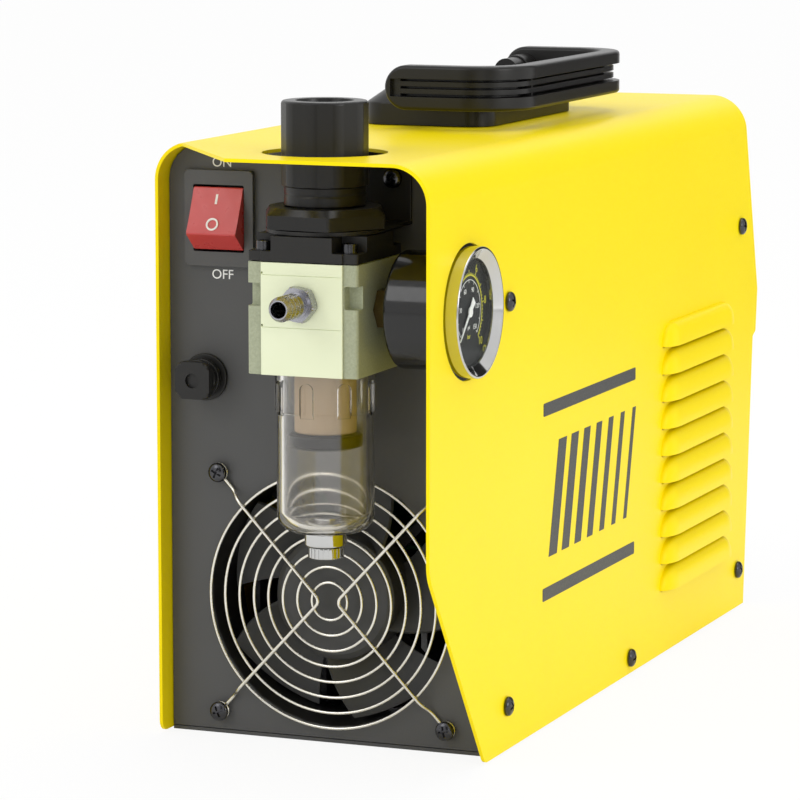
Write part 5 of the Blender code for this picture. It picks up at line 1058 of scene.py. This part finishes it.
def makeNeedle():
    turn = math.radians(90 - gauge["start"])  # at rest on zero
    along, across = Vector((math.cos(turn), math.sin(turn))), Vector((-math.sin(turn), math.cos(turn)))
    corners = [along * 0.0125 + across * 0.00015, across * 0.0006, along * -0.0015 + across * 0.0010,
               along * -0.0050 + across * 0.0014, along * -0.0050 - across * 0.0014,
               along * -0.0015 - across * 0.0010, across * -0.0006, along * 0.0125 - across * 0.00015]
    outline = [(uy + p.x, unit["gaugeZ"] + p.y) for p in corners]
    hand = slab("hand", outline, alongX, 0.06042, 0.06072)
    boss = rod("boss", (0.06045, uy, unit["gaugeZ"]), (1, 0, 0), 0.0005, 0.0017, 40, 0.0001)
    piece("gaugeHand", together("gaugeHand", [hand, boss]), whiteInk, "needle", ["gauge_needle"])


makeGauge()
makeDialPrint()
makeNeedle()

# power switch
switch = {"x": -0.0395, "z": 0.17685, "wide": 0.025, "tall": 0.0323, "face": -0.1431,
          "wellWide": 0.0093, "wellTall": 0.0113, "wellFloor": -0.1325, "pivot": -0.1400,
          "radius": 0.0110, "out": 0.0071, "tilt": 24, "rocker": 0.018, "bodyDeep": 0.020,
          "letters": 0.0046, "labels": {"ON": 0.0186, "OFF": -0.0192}}


def makeSwitch():
    x, z, w, h = switch["x"], switch["z"], switch["wide"] / 2, switch["tall"] / 2
    plate = slab("plate", oblong(x - w, z - h, x + w, z + h, 0.0012, 5), alongY, switch["face"],
                 rear - 0.0003, 0.0005)
    step = 0.0016  # the flange's overhang
    join(plate, block("bodyBox", (x - w + step, rear - 0.0005, z - h + step),
                      (x + w - step, rear + switch["bodyDeep"], z + h - step), 0.0006))
    w, h = switch["wellWide"], switch["wellTall"]
    cut(plate, slab("well", oblong(x - w, z - h, x + w, z + h, 0.0006, 4), alongY,
                    switch["face"] - 0.002, switch["wellFloor"]))
    tabs = [block("tab", (x + a - 0.003, rear + 0.0197, z + b - 0.0004),
                  (x + a + 0.003, rear + 0.029, z + b + 0.0004)) for a in (-.006, .006)
            for b in (-.008, .008)]
    piece("switchFrame", together("switchFrame", [plate] + tabs), greyAbs, "case",
          ["switch_housing"])


def makeRocker():
    x, z = switch["x"], switch["z"]
    tilt = math.radians(switch["tilt"])
    ridge = math.sqrt(switch["radius"] ** 2 - switch["out"] ** 2)
    foot = math.sqrt(switch["radius"] ** 2 - 0.0016 ** 2)
    shape = [(-ridge, switch["out"], .0006), (-ridge * .5, switch["out"] - .0003, .004),
             (ridge * .5, switch["out"] - .0003, .004), (ridge, switch["out"], .0006),
             (foot, -.0016, .0004), (foot * .55, -.006), (-foot * .55, -.006), (-foot, -.0016, .0004)]
    outline = []
    for up, out in roundOff(shape, 0, 6):
        outline.append((switch["pivot"] + up * math.sin(tilt) - out * math.cos(tilt),
                        z + up * math.cos(tilt) + out * math.sin(tilt)))
    half = switch["rocker"] / 2
    rocker = slab("rocker", outline, alongX, x - half, x + half, 0.0004, 3)
    piece("switchRockerCap", rocker, redPlastic, "rocker", ["switch_rocker"],
          30)
    up = Vector((0, math.sin(tilt), math.cos(tilt)))
    out = Vector((0, -math.cos(tilt), math.sin(tilt)))
    centre = Vector((x, switch["pivot"], z))

    def onCap(reach):
        return facing(centre + up * reach + out * (switch["out"] - 0.00028), (1, 0, 0), up)
    bar = block("bar", (-0.0004, -0.0022, -0.0003), (0.0004, 0.0022, 0.0001))
    bar.data.transform(onCap(0.0046))
    ring = lathe("ring", [(0.0016, 0.0004), (0.0022, 0.0004), (0.0022, -0.0003),
                          (0.0016, -0.0003)], onCap(-0.0048), 48, True)
    piece("rockerMarks", together("rockerMarks", [bar, ring]), whiteInk, "rocker")


def makeSwitchLabels():
    x, z = switch["x"] + 0.0005, switch["z"]
    labels = [words("label", text, switch["letters"],
                    facing((x, rear - 0.00001, z + lift), (1, 0, 0), (0, 0, 1)))
              for text, lift in switch["labels"].items()]
    piece("switchLabels", together("switchLabels", labels), whiteInk, "case")


makeSwitch()
makeRocker()
makeSwitchLabels()
gland = {"x": -0.0452, "z": 0.1228, "half": 0.00625, "reach": 0.0120, "head": 0.0038,
         "corner": 0.0024, "dimple": 0.0025, "ribs": 2, "pitch": 0.0033, "rib": 0.0067,
         "neck": 0.0060, "flange": 0.0080}


def makeGland():
    x, z, half = gland["x"], gland["z"], gland["half"]
    face = rear - gland["reach"]
    head = slab("head", oblong(x - half, z - half, x + half, z + half, gland["corner"], 6), alongY,
                face, face + gland["head"], 0.0010, 3)
    cut(head, rod("dimple", (x, face - 0.001, z), (0, 1, 0), 0.0022, gland["dimple"], 48))
    rib, neck, flange = gland["rib"], gland["neck"], gland["flange"]
    line = [(0, 0.0085)]
    for k in range(gland["ribs"]):
        top = 0.0082 - k * gland["pitch"]
        line += [(rib, top, .0004), (rib, top - 0.0016, .0004), (neck, top - 0.0018),
                 (neck, top - 0.0032)]
    line += [(flange, 0.0017, .0004), (flange, 0.0003, .0003), (neck, 0.0003), (neck, -0.0080),
             (0, -0.0080)]
    barrel = lathe("barrel", roundOff(line, 0, 3, False), pointing((x, rear, z), (0, -1, 0)), 72)
    piece("glandBody", together("glandBody", [head, barrel]), blackNylon, "case", ["cable_gland"])


makeGland()
print("gauge and switch made")

# handle
bail = {"middle": -0.009, "half": 0.0645, "reach": 0.041, "band": 0.0075, "low": 0.2095,
        "high": 0.2250, "corner": 0.021, "edge": 0.0013, "rim": 0.0047, "rib": 0.0017,
        "recess": 0.0022, "floor": 0.0056, "start": -0.0024, "web": 0.0016, "slots": 3,
        "boss": 0.0052, "bossBore": 0.0027}
base = {"halfWide": 0.024, "half": 0.047, "rise": 0.0078, "crown": 0.0118, "inset": 0.006,
        "corner": 0.009, "ear": 0.0045, "earWide": 0.010, "peg": 0.0024, "pegLong": 0.0085}


def bailTrack(inset, start):
    radius, right = bail["corner"] - inset, bail["reach"] - inset
    low, high = bail["middle"] - bail["half"] + inset, bail["middle"] + bail["half"] - inset
    return ([(start, low)] + arc(right - radius, low + radius, radius, -90, 0, 16)
            + arc(right - radius, high - radius, radius, 0, 90, 16) + [(start, high)])


pivotZ = (bail["high"] + bail["low"]) / 2


def makeBail():
    tall = bail["high"] - bail["low"]
    outline = bailTrack(0, -tall / 2) + bailTrack(bail["band"], -tall / 2)[::-1]
    grip = slab("grip", outline, alongZ, bail["low"], bail["high"])
    ends = arc(0, pivotZ, tall / 2, 270, 90, 24)
    ends += [(0, 0.24), (-0.02, 0.24), (-0.02, 0.19), (0, 0.19)]
    cut(grip, slab("ends", ends, alongY, -0.09, 0.07))
    softEdges(grip, bail["edge"], 3, 50)
    opening = tall - 2 * bail["rim"]
    gapHigh = (opening - (bail["slots"] - 1) * bail["rib"]) / bail["slots"]
    low = bail["low"] + bail["rim"]
    outside = bailTrack(-0.002, bail["start"])
    webY = bail["middle"] - bail["half"] + bail["corner"] + bail["web"]
    slots = []
    for k in range(bail["slots"]):
        slot = slab("slot", outside + bailTrack(bail["floor"], bail["start"])[::-1], alongZ,
                    low - (0.0001 if k == 0 else 0),
                    low + gapHigh + (0.0001 if k == bail["slots"] - 1 else 0))
        cut(slot, block("web", (0, webY - bail["web"] / 2, low - 0.001),
                        (0.09, webY + bail["web"] / 2, low + gapHigh + 0.001)))
        slots.append(slot)
        low += gapHigh + bail["rib"]
    cut(grip, *slots)
    recess = slab("recess", bailTrack(-0.002, bail["start"] - opening / 2)
                  + bailTrack(bail["recess"], bail["start"] - opening / 2)[::-1], alongZ,
                  bail["low"] + bail["rim"], bail["high"] - bail["rim"])
    cut(grip, recess)
    parts = [grip]
    for end in (-1, 1):
        at = (0, bail["middle"] + end * (base["half"] + 0.0003), pivotZ)
        reach = bail["half"] - bail["band"] - base["half"]
        ring = [(bail["bossBore"], 0), (bail["bossBore"], reach - 0.001),
                (bail["boss"], reach - 0.0002), (bail["boss"], 0, .0004)]
        parts.append(lathe("bossRing", roundOff(ring, 0, 4), pointing(at, (0, end, 0)), 48, True))
    whole = together("handleBail", parts)
    piece("handleBail", softEdges(whole, 0.0003, 2, 50), blackAbs, "carry_handle", ["handle_bail"],
          40)


def makeHandleBase():
    lowZ = case["height"] + 0.0003
    shape = bmesh.new()
    rings = []
    for inset, z in ((0, lowZ), (0, lowZ + base["rise"] - 0.0006), (0.0004, lowZ + base["rise"]),
                     (base["inset"] - 0.0008, lowZ + base["crown"] - 0.0003),
                     (base["inset"] + 0.0004, lowZ + base["crown"])):
        wide, long = base["halfWide"] - inset, base["half"] - inset
        line = oblong(-wide, bail["middle"] - long, wide, bail["middle"] + long,
                      base["corner"] - inset / 2, 12)
        rings.append([shape.verts.new((x, y, z)) for x, y in line])
    for near, far in zip(rings, rings[1:]):
        for i in range(len(near)):
            j = (i + 1) % len(near)
            shape.faces.new((near[i], near[j], far[j], far[i]))
    shape.faces.new(rings[0])
    shape.faces.new(rings[-1])
    foot = fromShape("foot", shape)
    ears = []
    for end in (-1, 1):
        outer = bail["middle"] + end * base["half"]
        inner = outer - end * base["earWide"]
        span = sorted((outer, inner))
        ear = base["ear"]
        side = [(-ear, 0.2085), (ear, 0.2085)] + arc(0, pivotZ, ear, 0, 180, 24)
        ears.append(slab("ear", side, alongY, span[0], span[1], 0.0004))
        ears.append(rod("peg", (0, outer - end * 0.001, pivotZ), (0, end, 0), base["pegLong"],
                        base["peg"], 40))
    join(foot, *ears)
    piece("handleBase", softEdges(foot, 0.0003, 2, 40), blackAbs, "case", ["handle_base"],
          40)


makeBail()
makeHandleBase()

# bracket behind the regulator
bracket = {"half": 0.0193, "low": 0.1772, "sheet": 0.0012, "top": 0.2009, "gap": 0.0003,
           "hole": 0.0131}


def makeBracket():
    half, low, back = bracket["half"], bracket["low"], rear - bracket["gap"]
    plan = [(ux - half, back)] + arc(ux, uy, half, 180, 360, 48) + [(ux + half, back)]
    shelf = slab("bracket", plan, alongZ, low, low + bracket["sheet"], 0.0002)
    join(shelf, block("upright", (ux - half, back - bracket["sheet"], low),
                      (ux + half, back, bracket["top"]), 0.0003))
    cut(shelf, rod("neckHole", (ux, uy, low - 0.0012), (0, 0, 1), 0.004, bracket["hole"], 72))
    piece("airBracket", shelf, blackNylon, "case", ["air_bracket"])


makeBracket()
print("handle made")

# printed panels
decal = {"near": -0.097, "far": 0.002, "low": 0.038, "high": 0.120, "bars": 7, "lean": 0.010,
         "film": 0.00006, "lift": 0.00003}


def makeDecals():
    bars = []
    x, film, lean = halfWide + decal["lift"], decal["film"], decal["lean"]
    near, wide = decal["near"], decal["far"] - decal["near"]
    tall = decal["high"] - decal["low"]
    for k in range(decal["bars"]):
        low, high = decal["low"] + tall * 0.26, decal["high"] - tall * 0.26
        at = near + wide * (0.06 + k * 0.135)
        step = wide * (0.085 - 0.008 * k)
        bars.append(slab("bar", [(at, low), (at + step, low), (at + step + lean, high),
                                 (at + lean, high)], alongX, x - film, x + film))
    for z in (decal["low"] + tall * 0.08, decal["high"] - tall * 0.14):
        bars.append(slab("line", oblong(near, z, near + wide, z + tall * 0.055, 0.0006, 3), alongX,
                         x - film, x + film))
    piece("wallPrint", together("wallPrint", bars), charcoalInk, "case")


makeDecals()


# works and front, on the frame's own shapes
finishes = {"rear_panel": greyCoat, "base_tray": greyCoat, "front_panel": blackNylon,
            "gland_nut": blackNylon, "adjust_screw": turnedBrass, "gauge_nipple": shadeDarkenedBrass,
            "outlet_fitting": turnedBrass, "solenoid_valve": turnedBrass, "torch_socket": turnedBrass,
            "torch_plate": blackAbs, "earth_socket": blackNylon, "control_socket": chrome,
            "display_window": tintedAcrylic, "current_knob": blackAbs, "heat_sink": millAluminium,
            "power_board": solderMask, "control_board": solderMask, "transformer": ferriteTape,
            "air_hose": polyTube}
for name, look in finishes.items():
    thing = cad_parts[name]
    thing.data.materials.clear()
    thing.data.materials.append(look)
    edge = thing.modifiers.new("softEdges", "BEVEL")
    edge.width = 0.00022
    edge.segments = 2
    edge.limit_method = "ANGLE"
    edge.angle_limit = math.radians(45)
    thing.modifiers.new("evenNormals", "WEIGHTED_NORMAL").keep_sharp = True
print("frame pieces coated")

# backdrop, light, camera
studio = {"floor": 30, "floorGlow": 0.9, "fill": 0.84, "cardHigh": 1.1,
          "cards": [(-0.75, -0.9, 35, 0.12), (0.15, -1.9, 0, 0.24), (1.3, -1.5, 45, 0.3),
                    (0.42, 0.80, 20, 0.30)],  # x, y, turn, half width
          "lamps": {"key": ((-1.2, -2.0, 1.6), 1.2, 10), "side": ((2.2, -0.9, 0.9), 0.9, 12),
                    "top": ((0.2, 0.3, 2.2), 1.2, 9)}}  # place, size, watts


def makeFloor():  # pale to the light, almost white to the eye
    wide = studio["floor"]
    floor = slab("floor", [(-wide, -wide), (wide, -wide), (wide, wide), (-wide, wide)], alongZ,
                 -0.02, 0.0)
    look, tree, shader = newLook("paleFloor", "#fbfbfa", 0.8)
    seen = addNode(tree, "ShaderNodeLightPath")
    share = addNode(tree, "ShaderNodeMath", {0: seen.outputs["Is Camera Ray"],
                                             1: studio["floorGlow"]}, operation="MULTIPLY")
    glow = addNode(tree, "ShaderNodeEmission", {"Color": (1, 1, 1, 1), "Strength": 1.0})
    both = addNode(tree, "ShaderNodeMixShader", {0: share.outputs[0], 1: shader.outputs[0],
                                                 2: glow.outputs[0]})
    out = [node for node in tree.nodes if node.type == "OUTPUT_MATERIAL"][0]
    tree.links.new(both.outputs[0], out.inputs["Surface"])
    floor.data.materials.append(look)
    return floor


def makeCards():  # black cards seen only in reflections
    shade = newLook("blackCard", "#050505", 0.9)[0]
    cards = []
    for x, y, turn, wide in studio["cards"]:
        card = block("card", (-wide, -0.002, 0.001), (wide, 0.002, studio["cardHigh"]))
        card.data.transform(Matrix.Translation((x, y, 0))
                            @ Matrix.Rotation(math.radians(turn), 4, "Z"))
        card.data.materials.append(shade)
        card.visible_camera = card.visible_diffuse = card.visible_shadow = False
        card.visible_transmission = False
        cards.append(card)
    return cards


def makeSky():  # white to the eye, to mirrors and through glass, softer as fill
    world = bpy.data.worlds.new("studio")
    bpy.context.scene.world = world
    world.use_nodes = True
    sky = world.node_tree
    sky.nodes.clear()
    rays = addNode(sky, "ShaderNodeLightPath")
    seen = addNode(sky, "ShaderNodeMath", {0: rays.outputs["Is Camera Ray"],
                                           1: rays.outputs["Is Glossy Ray"]}, operation="MAXIMUM")
    white = addNode(sky, "ShaderNodeMath", {0: seen.outputs[0],
                                            1: rays.outputs["Is Transmission Ray"]},
                    operation="MAXIMUM")
    bright = addNode(sky, "ShaderNodeBackground", {"Color": (1, 1, 1, 1), "Strength": 1.0})
    fill = addNode(sky, "ShaderNodeBackground", {"Color": (1, 1, 1, 1), "Strength": studio["fill"]})
    both = addNode(sky, "ShaderNodeMixShader", {0: white.outputs[0], 1: fill.outputs[0],
                                                2: bright.outputs[0]})
    addNode(sky, "ShaderNodeOutputWorld", {"Surface": both.outputs[0]})


def makeLamps():
    for name, (at, size, power) in studio["lamps"].items():
        lamp = bpy.data.lights.new(name, "AREA")
        lamp.size = size
        lamp.energy = power
        thing = added(name, lamp)
        thing.location = at
        aim = Vector((0, 0, 0.1)) - Vector(at)
        thing.rotation_euler = aim.to_track_quat("-Z", "Y").to_euler()


makeFloor()
makeCards()
makeSky()
makeLamps()
view = {"at": (0.5085, -1.3575, 0.3097), "way": (-0.36527, 0.91962, -0.14451), "lens": 179.37,
        "shift": -0.000625}
lens = bpy.data.cameras.new("camera")
lens.sensor_width = 36
lens.lens = view["lens"]
lens.shift_x = view["shift"]
lens.clip_start = 0.05
lens.clip_end = 100
camera = added("camera", lens)
camera.location = view["at"]
camera.rotation_euler = Vector(view["way"]).to_track_quat("-Z", "Y").to_euler()
bpy.context.scene.camera = camera
bpy.context.scene.view_settings.view_transform = "Standard"
print("studio made")
